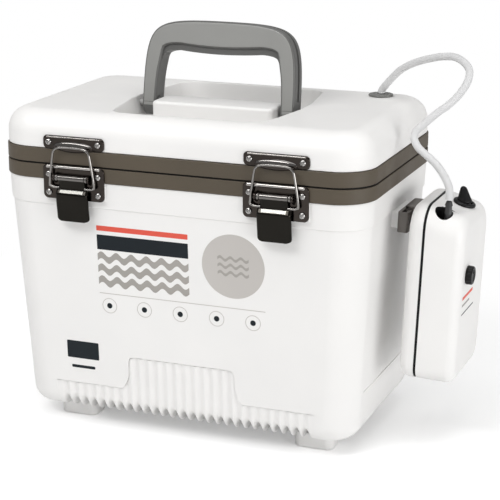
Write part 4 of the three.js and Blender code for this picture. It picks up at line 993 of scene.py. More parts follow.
def hingePin(side, centre):
    bm = bmesh.new()
    ends = centre - hinge["pinHalf"], centre + hinge["pinHalf"]
    rodX(bm, hinge["pin"], ends, hinge["y"], hinge["seam"], 20, hinge["pinEdge"])
    piece(f"hinge_pin_{side}_fine", bm, "tub", "plain_steel", [f"hinge_pin_{side}"])


beside = hinge["width"] + hinge["gap"]
rimBand("tub_rim_band", "tub", band["seam"][0], band["ends"][0], (-beside, beside))
rimBand("lid_rim_band", "lid", band["seam"][1], band["ends"][1], (0,))
hingePin("left", -hinge["spacing"] / 2)
hingePin("right", hinge["spacing"] / 2)
print("bands made")

# Lid

lid = {"top": 263, "round": 18, "low": 226, "step": 234.7, "stepEdge": 0.5, "inside": 241,
       "skinInset": 6.3}
bay = {"end": 73, "side": 69.5, "tip": 60, "shoulder": 13, "floor": 245, "flare": 3, "lip": 1.4,
       "overlap": 0.2}
block = {"half": 52, "front": -21.5, "back": 9, "corner": 4, "leastCorner": 1, "edge": 2.6,
         "fillet": 1.5}


def bayOutline(grow):
    end, side, tip = bay["end"] + grow, bay["side"] + grow, bay["tip"] + grow
    shoulder, corner = bay["shoulder"], bay["shoulder"] + grow
    return outlineOf([
        (side, shoulder, shoulder), (tip, end, corner), (-tip, end, corner),
        (-side, shoulder, shoulder), (-side, -shoulder, shoulder), (-tip, -end, corner),
        (tip, -end, corner), (side, -shoulder, shoulder),
    ], 8)


def blockOutline(inset):
    half = block["half"] - inset
    return rectangle(-half, half, block["front"] + inset, block["back"] - inset,
                     max(block["corner"] - inset, block["leastCorner"]), 8)


# Fills the flat ring between the open edges that lie at a height
def fillAt(bm, height):
    edges = [edge for edge in bm.edges if edge.is_boundary
             and all(abs(vert.co.z - height) < 1e-3 for vert in edge.verts)]
    bmesh.ops.triangle_fill(bm, use_beauty=True, edges=edges)


def lidBay():
    bm = bmesh.new()
    lip, floor, flare = bay["lip"], bay["floor"], bay["flare"]
    rim = [(lid["top"] - lip * (1 - math.cos(a)), bayOutline(flare + lip * (1 - math.sin(a))))
           for a in quarter(5)]
    foot = [(floor + flare * (1 - math.sin(a)),
             bayOutline(-flare * (1 - math.cos(a)) - bay["overlap"])) for a in quarter(5)]
    first, last = tower(bm, rim + foot)
    bmesh.ops.delete(bm, geom=[first, last], context="FACES_ONLY")
    return bm


def lidBlock():
    bm = bmesh.new()
    edge, fillet = block["edge"], block["fillet"]
    skirt = [(bay["floor"] + fillet * (1 - math.cos(a)), blockOutline(-fillet * (1 - math.sin(a))))
             for a in quarter(4)]
    crown = [(lid["top"] - edge + edge * math.sin(a), blockOutline(edge * (1 - math.cos(a))))
             for a in quarter(6)]
    first, _ = tower(bm, skirt + crown)
    bm.faces.remove(first)
    return bm


def lidShell():
    bm = bmesh.new()
    top, radius, wall, leg = lid["top"], lid["round"], tub["wall"], tub["legInset"]
    levels = [
        (lid["inside"], boxOutline(lid["skinInset"])),
        (lid["low"], boxOutline(lid["skinInset"])),
        (lid["low"], boxOutline(leg)),
        (lid["step"], boxOutline(leg)),
        (lid["step"], boxOutline(wall + lid["stepEdge"])),
        (lid["step"] + lid["stepEdge"], boxOutline(wall)),
    ]
    levels += [(top - radius + radius * math.sin(a),
                boxOutline(wall + radius * (1 - math.cos(a)))) for a in quarter(12)]
    _, last = tower(bm, levels)
    bm.faces.remove(last)
    absorb(bm, lidBay())
    absorb(bm, lidBlock())
    fillAt(bm, top)
    fillAt(bm, bay["floor"])
    welded(bm)
    turnedOut(bm)
    piece("lid_shell_fine", bm, "lid", "shell_white", ["lid_shell"], 32, True)


plug = {"inset": 21.8, "low": 212.2, "edge": 2, "flange": (226, 228), "flangeInset": 6.6}


def lidLiner():
    bm = bmesh.new()
    edge, low, inset = plug["edge"], plug["low"], plug["inset"]
    under, over = plug["flange"]
    levels = [(low + edge * (1 - math.sin(a)), boxOutline(inset + edge * (1 - math.cos(a))))
              for a in quarter(4)][::-1]
    levels += [(under, boxOutline(inset)), (under, boxOutline(plug["flangeInset"])),
               (over, boxOutline(plug["flangeInset"]))]
    tower(bm, levels)
    piece("lid_liner_fine", bm, "lid", "liner_white", ["lid_liner"], 35, True)


gasket = {"low": 221.6, "high": 222.8, "edge": 0.3, "out": 1.1, "back": 8.8}


def lidGasket():
    bm = bmesh.new()
    low, high, edge, out, back = (gasket[size] for size in ("low", "high", "edge", "out", "back"))
    section = [(low, out + edge), (low + edge, out), (high - edge, out), (high, out + edge),
               (high, back - edge), (high - edge, back), (low + edge, back), (low, back - edge)]
    ringTower(bm, [(z, boxOutline(inset)) for z, inset in section])
    piece("lid_gasket_fine", bm, "lid", "rubber_black", ["lid_gasket"], 50)


lidShell()
lidLiner()
lidGasket()
print("lid made")

# Handle

handle = {
    "pivot": 257,
    "lean": 8.5,
    "half": 66,
    "rise": 63.5,
    "arch": 5.9,
    "shoulder": 1.152,
    "crown": 0.94,
    "thick": 9.5,
    "leg": 11.7,
    "window": 44.5,
    "sag": 3.6,
    "innerX": 46.1,
    "bevel": 2.4,
    "lip": 5,
    "lipShare": 0.65,
    "lipBack": 3.2,
    "web": 2,
    "webOverlap": 0.2,
    "groove": 1.6,
    "footEdge": 1.6,
    "hub": 6.5,
    "hubStart": 52.3,
    "hubOverlap": 1,
    "hubEdge": 0.6,
    "facing": 0.9,
    "within": 0.1,
}


def handleOuter(inset):
    half, rise = handle["half"] - inset, handle["rise"] - inset
    right = [(half, 0), (half, rise * handle["shoulder"]), (half * handle["crown"], rise),
             (0, rise)]
    knots = [Vector((*point, 0)) for point in right]
    arc = [point.to_2d() for point in interpolate_bezier(*knots, 33)]
    for point in arc:
        point.y += handle["arch"] * (1 - (point.x / half) ** 2) * point.y / rise
    mirrored = [Vector((-point.x, point.y)) for point in reversed(arc[:-1])]
    return arc + mirrored


def curveThrough(start, pull, end, steps):
    first = start + (pull - start) * 2 / 3
    last = end + (pull - end) * 2 / 3
    return [point.to_2d() for point in interpolate_bezier(
        *(Vector((*knot, 0)) for knot in (start, first, last, end)), steps + 1)]


# The window, its upper edge raised where the face stops short of the grip's lower lip
def handleInner(lift):
    inner, high = handle["half"] - handle["leg"], handle["window"]
    corner, cornerX = handle["leg"], handle["innerX"]
    knots = [Vector(knot) for knot in (
        (inner, 0), (inner, high - corner), (cornerX + corner / 4, high - corner / 4),
        (cornerX, high), (cornerX - corner, high), (0, high - handle["sag"]))]
    side = curveThrough(*knots[:3], 10)
    side += curveThrough(*knots[2:5], 6)[1:]
    middle = curveThrough(knots[4], knots[5], Vector((-knots[4].x, knots[4].y)), 12)[1:]
    mirrored = [Vector((-point.x, point.y)) for point in reversed(side[:-1])]
    edge = side + middle + mirrored
    for point in edge:
        above = (point.y - high + corner) / (handle["lipShare"] * corner)
        above = min(max(above, 0), 1)
        point.y += lift * above * above
    return edge


# A flat plate of the handle between two depths, its rim on the given side bevelled
def handlePlate(bm, front, back, inset, lift=0, rimAt=None):
    part = bmesh.new()
    loop = handleOuter(inset) + handleInner(lift)[::-1]
    verts = [part.verts.new((point.x, 0, point.y)) for point in loop]
    face = part.faces.new(verts)
    grown = bmesh.ops.extrude_face_region(part, geom=[face], use_keep_orig=True)
    moved = [item for item in grown["geom"] if isinstance(item, bmesh.types.BMVert)]
    bmesh.ops.translate(part, vec=(0, back, 0), verts=moved)
    bmesh.ops.translate(part, vec=(0, front, 0), verts=verts)
    turnedOut(part)
    if rimAt is not None:
        rims = [edge for edge in part.edges
                if all(abs(vert.co.y - rimAt) < 1e-4 for vert in edge.verts)]
        bmesh.ops.bevel(part, geom=rims, offset=handle["bevel"], offset_type="OFFSET", segments=4,
                        profile=0.5, affect="EDGES", clamp_overlap=True, material=-1)
    absorb(bm, part)


def handlePiece():
    bm = bmesh.new()
    thick, web, step = handle["thick"], handle["web"], handle["lipBack"]
    handlePlate(bm, -thick, step - thick, 0, handle["lip"], -thick)
    handlePlate(bm, step - thick, -web, 0)
    handlePlate(bm, -web - handle["webOverlap"], web + handle["webOverlap"], handle["groove"])
    handlePlate(bm, web, thick - step, 0)
    handlePlate(bm, thick - step, thick, 0, handle["lip"], thick)
    inner = handle["half"] - handle["leg"]
    hub = handle["hubStart"], inner + handle["hubOverlap"]
    for way in (-1, 1):
        rodX(bm, thick, (way * inner, way * handle["half"]), 0, 0, 48, handle["footEdge"])
        rodX(bm, handle["hub"], [way * x for x in hub], 0, 0, 36, handle["hubEdge"])
    place = (intoFrame @ Matrix.Translation((0, 0, handle["pivot"]))
             @ Matrix.Rotation(math.radians(-handle["lean"]), 4, "X"))
    flat = [abs(face.normal.y) > handle["facing"]
            and abs(abs(face.calc_center_median().y) - thick) < handle["within"]
            for face in bm.faces]
    made = objectOf("handle_fine", bm, place)
    settle(made, "handle", "handle_grey", ["handle"], 32, True)
    # Faces that look straight front or back keep the lighter grey; bevels, sides and grooves take
    # the darker copy as painted shade
    made.data.materials.append(materials["handle_painted_shade"])
    for polygon, facing in zip(made.data.polygons, flat):
        polygon.material_index = 0 if facing else 1


handlePiece()
print("handle made")

# Latches

latch = {"half": 26.5, "pinZ": 213, "pinOut": 4.8, "bailOut": 4.4, "bailZ": 205.2,
         "topOut": 5.1, "topZ": 237.4, "wire": 0.98, "foot": 19.2, "crown": 15.5}
base = {"low": 195, "high": 222.4, "back": 0.3, "front": 1.8, "corner": 4, "edge": 0.7,
        "soft": 0.3, "roll": 1.5, "rollHalf": 23.4, "rollEdge": 1, "ear": 3, "earStart": 14.2,
        "earThick": 1.5, "earArc": (-45, 90), "earSteps": 16}
keeper = {"low": 234.9, "high": 245.4, "back": -0.7, "front": 0.8, "corner": 3.4, "edge": 1.2,
          "bulge": (17, 2.6, 4.5), "bulgeZ": 237.2, "brightOut": 0.1, "brightUp": 0.4,
          "bead": 0.65, "beadIn": 1.1, "beadSunk": 0.35, "beadEdge": 0.3}
lever = {
    "low": 178.1,
    "half": 13.75,
    "neck": 11.5,
    "shoulder": 204.4,
    "shoulderRun": 1.4,
    "corner": 2.2,
    "endCorner": 3,
    "thick": 1.2,
    "flange": 3.2,
    "endFlange": 1.6,
    "endFlangeShare": 0.5,
    "leastBack": 0.1,
    "spacing": 0.6,
    "soft": 0.25,
    "bow": [(178.1, 5.0), (179.6, 5.3), (185, 5.9), (190, 6.6), (197, 7.3), (200, 7.35),
            (200.8, 7.1), (203.6, 5.35), (204.3, 5.05), (206, 5.1), (208, 5.5), (210, 6.2),
            (212.5, 7.2)],
    "kink": (201.2, 203.5),
    "kinkOut": 4.9,
    "kinkHalf": 1,
    "brightShare": 0.72,
    "knuckle": 2.5,
    "knuckleHalf": 11.4,
    "knuckleEdge": 0.4,
    "washer": 2.75,
    "washerGap": 0.2,
    "washerEnd": 13.9,
    "washerEdge": 0.7,
}


# A rod along X on a latch in a brighter chrome than its plate, a painted highlight: the base's
# roll, the keeper's top edge line or the lever's knuckle
def paintedHighlightRod(name, body, radius, half, centre, y, z, bevel, material="roll_painted_highlight"):
    bm = bmesh.new()
    rodX(bm, radius, (centre - half, centre + half), y, z, 32, bevel)
    piece(name, bm, body, "dark_chrome", (), 40, True, material)


def outFrom(distance):
    return -tub["halfWidth"] - distance


# A plate that faces the front, its front edge rounded
def plateY(bm, centre, half, plate):
    thick, edge = plate["front"] - plate["back"], plate["edge"]

    def outline(inset):
        return rectangle(centre - half + inset, centre + half - inset, plate["low"] + inset,
                         plate["high"] - inset, plate["corner"] - inset)

    part = bmesh.new()
    tower(part, [(0, outline(0))] + [
        (thick - edge * (1 - math.sin(a)), outline(edge * (1 - math.cos(a)))) for a in quarter(5)])
    turn = (Matrix.Translation((0, outFrom(plate["back"]), 0))
            @ Matrix.Rotation(math.pi / 2, 4, "X"))
    bmesh.ops.transform(part, matrix=turn, verts=part.verts)
    absorb(bm, part)


def latchBase(side, centre):
    bm = bmesh.new()
    plateY(bm, centre, latch["half"], base)
    roll = base["roll"]
    # The plate's rolled top edge, in bright chrome as a painted highlight
    paintedHighlightRod(f"latch_roll_{side}", "tub", roll, base["rollHalf"], centre,
              outFrom(base["back"] + roll), base["high"] - roll, base["rollEdge"])
    ear, back = base["ear"], outFrom(base["back"])
    pinY, pinZ = outFrom(latch["pinOut"]), latch["pinZ"]
    start, end = (math.radians(angle) for angle in base["earArc"])
    steps = base["earSteps"]
    arc = [(pinY - ear * math.cos(a), pinZ + ear * math.sin(a))
           for a in (start + (end - start) * step / steps for step in range(steps + 1))]
    outline = [(back, pinZ - 2 * ear), *arc, (back, pinZ + ear)]
    for way in (-1, 1):
        ends = sorted(centre + way * (base["earStart"] + reach) for reach in (0, base["earThick"]))
        prismX(bm, outline, *ends)
    made = objectOf(f"latch_base_{side}_fine", bm, intoFrame)
    softened(made, base["soft"], 2)
    # The plate takes the lighter copy of the dark chrome as painted sheen
    settle(made, "tub", "dark_chrome", [f"latch_base_{side}"], 35, True, "plate_chrome_painted_sheen")


def latchKeeper(side, centre):
    bm = bmesh.new()
    plateY(bm, centre, latch["half"], keeper)
    place = (Matrix.Translation((centre, outFrom(keeper["front"]), keeper["bulgeZ"]))
             @ Matrix.Diagonal((*keeper["bulge"], 1)))
    bmesh.ops.create_uvsphere(bm, u_segments=64, v_segments=32, radius=1, matrix=place)
    made = objectOf(f"latch_keeper_{side}_fine", bm, intoFrame)
    # The plate takes the lighter copy of the dark chrome as painted sheen
    settle(made, "lid", "dark_chrome", [f"latch_keeper_{side}"], 35, True, "plate_chrome_painted_sheen")
    # The bulge's upper front takes a brighter chrome: a painted highlight
    made.data.materials.append(materials["mid_chrome_and_painted_highlight"])
    edge = intoFrame @ Vector((0, outFrom(keeper["front"] + keeper["brightOut"]),
                               keeper["bulgeZ"] + keeper["brightUp"]))
    for polygon in made.data.polygons:
        if polygon.center.y < edge.y and polygon.center.z > edge.z:
            polygon.material_index = 1
    # A thin bright rod sunk into the plate's top edge: a painted highlight line
    paintedHighlightRod(f"keeper_highlight_line_{side}", "lid", keeper["bead"],
              latch["half"] - keeper["corner"], centre,
              outFrom(keeper["front"] - keeper["beadSunk"]), keeper["high"] - keeper["beadIn"],
              keeper["beadEdge"])


# The lever's channel across, at one height: round front corners and open at its back
def channel(half, out, depth):
    thick, corner = lever["thick"], min(lever["corner"], depth - lever["leastBack"])
    back = outFrom(out - depth)

    def bend(radius, inset):
        y = outFrom(out - inset)
        right = [(half - inset - radius * (1 - math.cos(a)), y + radius * (1 - math.sin(a)))
                 for a in quarter(5)] + [(half * lever["brightShare"], y)]
        return right + [(-x, y) for x, y in reversed(right)]

    outer = [(half, back), *bend(corner, 0), (-half, back)]
    inner = [(half - thick, back), *bend(corner - thick, thick), (thick - half, back)]
    return [Vector(point) for point in outer + inner[::-1]]


# The lever's half width and flange at one height, round at its free end and narrower at its neck
def leverSize(height):
    corner = lever["endCorner"]
    rise = min(max(height - lever["low"], 0), corner)
    cut = corner - math.sqrt(corner ** 2 - (corner - rise) ** 2)
    narrow = eased((height - lever["shoulder"]) / lever["shoulderRun"])
    half = lever["half"] - cut - (lever["half"] - lever["neck"]) * narrow
    return half, max(lever["flange"] - lever["endFlangeShare"] * cut, lever["endFlange"])


def latchLever(side, centre):
    bm = bmesh.new()
    bow = [Vector(point) for point in lever["bow"]]
    levels = []
    for start, end in zip(bow, bow[1:]):
        count = max(2, math.ceil((end.x - start.x) / lever["spacing"]))
        levels += [start.lerp(end, index / count) for index in range(count)]
    levels.append(bow[-1])
    sections = []
    for height, out in levels:
        half, flange = leverSize(height)
        sections.append((height, channel(half, out, flange)))
    tower(bm, sections)
    bmesh.ops.translate(bm, vec=(centre, 0, 0), verts=bm.verts)
    made = objectOf(f"latch_lever_{side}_fine", bm, intoFrame)
    softened(made, lever["soft"], 2, 50)
    settle(made, f"lever_{side}", "dark_chrome", [f"latch_lever_{side}"], 40, True)
    # The flat front face across the bend takes a brighter chrome: a painted highlight band
    made.data.materials.append(materials["kink_painted_highlight"])
    low, high = lever["kink"]
    middle = intoFrame @ Vector((centre, outFrom(lever["kinkOut"]), 0))
    for polygon in made.data.polygons:
        aside = abs(polygon.center.x - middle.x) / mm
        if (low < polygon.center.z / mm < high and polygon.center.y < middle.y
                and aside < lever["kinkHalf"]):
            polygon.material_index = 1


# The lever's knuckle, in a brighter chrome than the lever: a painted highlight
def latchKnuckle(side, centre):
    paintedHighlightRod(f"latch_knuckle_{side}", f"lever_{side}", lever["knuckle"], lever["knuckleHalf"],
              centre, outFrom(latch["pinOut"]), latch["pinZ"], lever["knuckleEdge"],
              "mid_chrome_and_painted_highlight")


def latchWashers(side, centre):
    bm = bmesh.new()
    inner, outer = lever["knuckleHalf"] + lever["washerGap"], lever["washerEnd"]
    for way in (-1, 1):
        rodX(bm, lever["washer"], (centre + way * inner, centre + way * outer),
             outFrom(latch["pinOut"]), latch["pinZ"], 32, lever["washerEdge"])
    piece(f"latch_washers_{side}", bm, f"lever_{side}", "dark_chrome", (), 40, True, "mid_chrome_and_painted_highlight")


screw = {
    "profile": [(0, 1.5), (1.0, 1.46), (1.7, 1.22), (2.3, 0.75), (2.6, 0.25), (2.6, 0), (1.5, 0),
                (1.5, -2.2), (0, -2.2)],
    "slits": ((1.5, 0.32), (0.32, 1.5)),
    "slitFloor": 0.75,
    "slitTop": 3,
    "aside": 21.3,
    "proud": 0.3,
    "baseZ": {"lower": 200.2, "upper": 214.8},
    "keeperZ": 240.15,
}


# A pan head screw with a crossed recess, cut at full size in millimetres before it is placed
def screwPiece(name, body, matrix, slotName="screw_steel"):
    bm = bmesh.new()
    lathe(bm, screw["profile"], 28)
    head = objectOf(f"{name}_fine", bm, Matrix.Identity(4))
    for halfX, halfY in screw["slits"]:
        slit = bmesh.new()
        box(slit, (-halfX, -halfY, screw["slitFloor"]), (halfX, halfY, screw["slitTop"]))
        carve(head, objectOf("slit", slit, Matrix.Identity(4)))
    head.data.transform(matrix @ Matrix.Scale(mm, 4))
    settle(head, body, slotName, [name], 40)


def screwOnFront(name, body, x, z, face):
    place = Matrix.Translation(intoFrame @ Vector((x, outFrom(face + screw["proud"]), z)))
    screwPiece(name, body, place @ Matrix.Rotation(math.pi / 2, 4, "X"))


# Points up one side of the bail's wire: aside of its foot or its crown, share of its lean and
# height over the foot or over the top
bail = {
    "inside": 0.6,
    "footRun": ((-3.6, 0, 0), (-0.9, 0, 0.9), (0, 0.1, 3.6)),
    "topRun": ((0.5, 0.85, -6.4), (-1.3, 0.95, -2.4), (-3.1, 1, -1), (-6.5, 1, -0.25)),
    "middle": 4,
}


def bailPiece(side, centre):
    footZ, topZ = latch["bailZ"], latch["topZ"]

    def lean(share):
        return outFrom(latch["bailOut"] + share * (latch["topOut"] - latch["bailOut"]))

    half = [
        (lever["neck"] - bail["inside"], lean(0), footZ),
        *((latch["foot"] + x, lean(share), footZ + up) for x, share, up in bail["footRun"]),
        *((latch["crown"] + x, lean(share), topZ + up) for x, share, up in bail["topRun"]),
        (bail["middle"], lean(1), topZ),
    ]
    route = half + [(-x, y, z) for x, y, z in reversed(half)]
    path = smoothRoute([(centre + x, y, z) for x, y, z in route], 5)
    made = tubeObject(f"latch_bail_{side}_fine", path, latch["wire"], intoFrame, 6)
    settle(made, f"bail_{side}", "dark_chrome", [f"latch_bail_{side}"], 50,
           material="bail_chrome")


for side, centre in latchPlaces.items():
    latchBase(side, centre)
    latchKeeper(side, centre)
    latchKnuckle(side, centre)
    latchLever(side, centre)
    latchWashers(side, centre)
    bailPiece(side, centre)
    edges = {"left": centre - screw["aside"], "right": centre + screw["aside"]}
    for level, z in screw["baseZ"].items():
        for edge, x in edges.items():
            screwOnFront(f"latch_screw_{side}_{level}_{edge}", "tub", x, z, base["front"])
    for edge, x in edges.items():
        screwOnFront(f"keeper_screw_{side}_{edge}", "lid", x, screw["keeperZ"], keeper["front"])
print("latches made")

# Pump

pump = {
    "backX": 165.2,
    "bottom": 59.3,
    "lean": 2.5,
    "half": 40.5,
    "height": 141,
    "depth": 44.8,
    "wall": 2.5,
    "seam": 12.2,
    "front": 14.4,
    "fall": 8,
    "topRound": 18,
    "bottomRound": 12,
    "leastRound": 2.5,
    "edge": 8,
    "sealGap": 0.1,
    "sealInset": 0.45,
}
notch = {"x": 25, "y": -28.5, "floor": 126, "radius": 7, "overrun": 150, "clear": 0.1}
hook = {"half": 13, "plate": (-9.9, -6.9), "low": 117.8, "arm": 130.8, "high": 133.3, "in": 1.25,
        "edge": 0.5}
hungFrame = (intoFrame @ Matrix.Translation((pump["backX"], 0, pump["bottom"]))
             @ Matrix.Rotation(math.radians(pump["lean"]), 4, "Y"))
topRun = pump["depth"] - pump["seam"]


# How far the sloping top has come down at a distance from the case's back
def fallAt(depth):
    return pump["fall"] * max(0, (depth - pump["seam"]) / topRun)


def caseOutline(depth, inset):
    half, top = pump["half"] - inset, pump["height"] - fallAt(depth) - inset
    upper = max(pump["topRound"] - inset / 2, pump["leastRound"])
    lower = max(pump["bottomRound"] - inset / 2, pump["leastRound"])
    return outlineOf([(half, top, upper), (-half, top, upper), (-half, inset, lower),
                      (half, inset, lower)], 10)


def casePiece(name, levels):
    bm = bmesh.new()
    tower(bm, [(depth, caseOutline(depth, inset)) for depth, inset in levels])
    bmesh.ops.transform(bm, matrix=layAlongX, verts=bm.verts)
    return objectOf(name, bm, hungFrame)


# Levels of a rounded end of the case, from its outer face in to the full outline
def roundedEnd(offset):
    edge = pump["edge"] - offset
    return [(offset + edge * (1 - math.cos(a)), offset + edge * (1 - math.sin(a)))
            for a in quarter(8)]


def pumpBack():
    wall, seam = pump["wall"], pump["seam"]
    levels = roundedEnd(0) + [(seam, 0), (seam, wall)] + roundedEnd(wall)[::-1]
    settle(casePiece("pump_back_cover_fine", levels), "pump", "shell_white",
           ["pump_back_cover"], 32, True)


def pumpHook():
    bm = bmesh.new()
    half, high = hook["half"], hook["high"]
    back, front = hook["plate"]
    box(bm, (back, -half, hook["low"]), (front, half, high), hook["edge"])
    box(bm, (back, -half, hook["arm"]), (hook["in"], half, high), hook["edge"])
    piece("pump_hook", bm, "pump", "trim_taupe", (), 35, True, "bracket_grey", hungFrame)


# A round bar over the notch, from a height up through the case's top
def notchBar(name, radius, low):
    bm = bmesh.new()
    rod(bm, radius, (notch["x"], notch["y"], low), (notch["x"], notch["y"], notch["overrun"]), 48)
    return objectOf(name, bm, hungFrame)


def pumpFront():
    wall, seam, depth = pump["wall"], pump["front"], pump["depth"]
    outer = [(depth - out, inset) for out, inset in reversed(roundedEnd(0))]
    inner = [(depth - out, inset) for out, inset in roundedEnd(wall)]
    front = casePiece("pump_front_case_fine", inner + [(seam, wall), (seam, 0)] + outer)
    cup = notchBar("cup", notch["radius"] + wall, notch["floor"] - wall)
    carve(cup, casePiece("envelope", [(seam, 0)] + outer), "INTERSECT")
    carve(front, cup, "UNION")
    carve(front, notchBar("well", notch["radius"], notch["floor"]))
    settle(front, "pump", "shell_white", ["pump_front_case"], 32, True)
    # The well's walls and floor are painted black as shade inside the notch
    front.data.materials.append(materials["black_plastic"])
    intoPump = hungFrame.inverted()
    for polygon in front.data.polygons:
        middle = intoPump @ polygon.center
        reach = math.hypot(middle.x - notch["x"], middle.y - notch["y"])
        if (reach < notch["radius"] + notch["clear"]
                and middle.z > notch["floor"] - notch["clear"]):
            polygon.material_index = 1


def pumpSeal():
    bm = bmesh.new()
    low, high = pump["seam"] + pump["sealGap"], pump["front"] - pump["sealGap"]
    out, back = pump["sealInset"], pump["wall"]
    ringTower(bm, [(depth, caseOutline(depth, inset))
                   for depth, inset in ((low, out), (high, out), (high, back), (low, back))])
    bmesh.ops.transform(bm, matrix=layAlongX, verts=bm.verts)
    piece("pump_gasket_fine", bm, "pump", "rubber_black", ["pump_gasket"], place=hungFrame)


pumpBack()
pumpHook()
pumpFront()
pumpSeal()


def latheAt(name, body, slotName, nodes, profile, matrix, steps=32, material=None):
    bm = bmesh.new()
    lathe(bm, profile, steps)
    piece(name, bm, body, slotName, nodes, material=material, place=matrix)


nipple = {
    "place": (28.2, -28.5, 0),
    "profile": [(0, 122), (2.6, 122), (2.6, 126.1), (3.6, 126.1), (3.6, 129.6), (3.3, 129.9),
                (2.6, 129.9), (2.6, 136), (3.1, 136), (2.6, 139), (2.6, 142.4), (3.1, 142.4),
                (2.2, 145.4), (1.2, 146), (0, 146)],
}
latheAt("pump_nipple_fine", "pump", "black_plastic", ["pump_nipple"], nipple["profile"],
        hungFrame @ Matrix.Translation(nipple["place"]), 28, "nipple_grey")

switch = {
    "x": 32.2,
    "y": 5,
    "throw": 12,
    "lean": 0.18,
    "leanFrom": 3.4,
    "collar": [(6.3, 0.3), (9, 0.3), (9, 1.5), (8.8, 2.0), (8.3, 2.45), (7.6, 2.7), (6.6, 2.7),
               (6.3, 2.4), (6.3, 0.3)],
    "boot": [(0, -3), (2, -3), (2, 1.5), (5.5, 1.5), (5.9, 1.9), (6.0, 2.7), (5.8, 3.5),
             (5.35, 4.6), (4.8, 6.0), (4.2, 7.8), (3.6, 9.6), (3.05, 11.2), (2.6, 12.4),
             (2.0, 13.3), (1.1, 13.9), (0, 14.1)],
}
switchTop = (switch["x"], switch["y"], pump["height"] - fallAt(switch["x"]))
topFrame = (hungFrame @ Matrix.Translation(switchTop)
            @ Matrix.Rotation(math.atan2(pump["fall"], topRun), 4, "Y"))
latheAt("switch_collar_fine", "pump", "black_plastic", ["switch_collar"], switch["collar"],
        topFrame, 48)


def toggleBoot():
    bm = bmesh.new()
    lathe(bm, switch["boot"], 40)
    for vert in bm.verts:
        vert.co.x -= switch["lean"] * max(0, vert.co.z - switch["leanFrom"])
    thrown = topFrame @ Matrix.Rotation(math.radians(-switch["throw"]), 4, "Y")
    piece("toggle_boot_fine", bm, "switch", "rubber_black", ["toggle_boot"], 50, place=thrown)


toggleBoot()

# Levels are a height, a share of the radius and a share of the flutes' depth
knob = {
    "place": (0, -20.4, 87),
    "gap": 0.3,
    "radius": 7.5,
    "flutes": 18,
    "fluteShare": 0.05,
    "levels": ((0, 0.97, 1), (0.4, 1, 1), (3.9, 0.98, 1), (4.6, 0.94, 0.6), (5, 0.86, 0),
               (5, 0.7, 0), (4.5, 0.62, 0), (4.3, 0.1, 0)),
    "spindle": (2, -4.8, 1),
    "pointer": ((4.0, -0.45, 1.5), (5.05, 0.45, 6.8)),
    "pointerEdge": 0.2,
}


def knobRing(share, depthShare, steps=144):
    ring = []
    for angle in (2 * math.pi * step / steps for step in range(steps)):
        flute = 0.5 - 0.5 * math.cos(knob["flutes"] * angle)
        reach = knob["radius"] * share * (1 - knob["fluteShare"] * depthShare * flute)
        ring.append(Vector((math.cos(angle), math.sin(angle))) * reach)
    return ring


def knobPiece():
    bm = bmesh.new()
    rest = Vector((pump["depth"] + knob["gap"], 0, 0))
    tower(bm, [(rest.x + height, knobRing(*shares)) for height, *shares in knob["levels"]])
    bmesh.ops.transform(bm, matrix=layAlongX, verts=bm.verts)
    radius, start, end = knob["spindle"]
    rod(bm, radius, (rest.x + start, 0, 0), (rest.x + end, 0, 0), 20)
    low, high = (rest + Vector(corner) for corner in knob["pointer"])
    box(bm, low, high, knob["pointerEdge"], 2)
    piece("speed_knob_fine", bm, "knob", "black_plastic", ["speed_knob"], 40,
          place=hungFrame @ Matrix.Translation(knob["place"]))


knobPiece()


# Plain marks under the knob: ink, left, right, low and high
pumpMarks = {
    "stripe": ("ink_red", -29, 3, 68, 70.6),
    "bar": ("ink_grey", -29, -6, 62.5, 64.3),
    "rule": ("ink_dark", -29, 8, 55.6, 56.6),
}
markBack, markFace = pump["depth"] - 0.3, pump["depth"] + 0.06
for name, (ink, left, right, low, high) in pumpMarks.items():
    bm = bmesh.new()
    box(bm, (markBack, left, low), (markFace, right, high))
    piece(f"print_pump_{name}", bm, "pump", "shell_white", material=ink, place=hungFrame)

# Hanger and hose grommet

hanger = {
    "soft": 0.5,
    "screws": {"front": (-9.9, -18.5, 123.75), "rear": (-9.9, 18.5, 123.75)},
    "boss": ((-26, -19, 115.8), (-13, 19, 129.2)),
    "bossEdge": 1.2,
}


# A copy of the bracket's solid, its triangles merged into flat faces and its edges softened
def hangerBracket():
    bm = solidCopy("hanger_bracket")
    bmesh.ops.dissolve_limit(bm, angle_limit=math.radians(1), verts=bm.verts, edges=bm.edges)
    made = objectOf("hanger_bracket_fine", bm, Matrix.Identity(4))
    softened(made, hanger["soft"])
    settle(made, "tub", "trim_taupe", ["hanger_bracket"], 35, True, "bracket_grey")


def hangerBoss():
    bm = bmesh.new()
    box(bm, *hanger["boss"], hanger["bossEdge"])
    piece("hanger_boss", bm, "tub", "shell_white", weigh=True, place=hungFrame)


hangerBracket()
for end, place in hanger["screws"].items():
    screwPlace = (hungFrame @ Matrix.Scale(1 / mm, 4) @ Matrix.Translation(Vector(place) * mm)
                  @ Matrix.Rotation(math.pi / 2, 4, "Y"))
    screwPiece(f"hanger_screw_{end}", "tub", screwPlace, "plain_steel")
hangerBoss()

grommet = {
    "place": (115, 67, 0),
    "profile": [(3.3, 255), (5, 255), (5, 263.3), (10, 263.3), (10.25, 263.5), (10.25, 264.1),
                (10.0, 264.6), (9.3, 264.9), (7.0, 264.9), (6.6, 264.6), (5.9, 264.6),
                (5.5, 264.9), (3.6, 264.9), (3.3, 264.6), (3.3, 255)],
}
latheAt("hose_grommet_fine", "lid", "trim_taupe", ["hose_grommet"], grommet["profile"],
        intoFrame @ Matrix.Translation(grommet["place"]), 40, "grommet_grey")
print("pump made")

# Floor, lights and world

ground = {"size": 6, "color": 0.95, "lift": 0.26, "clearFrom": 0.27, "clearTo": 0.56}


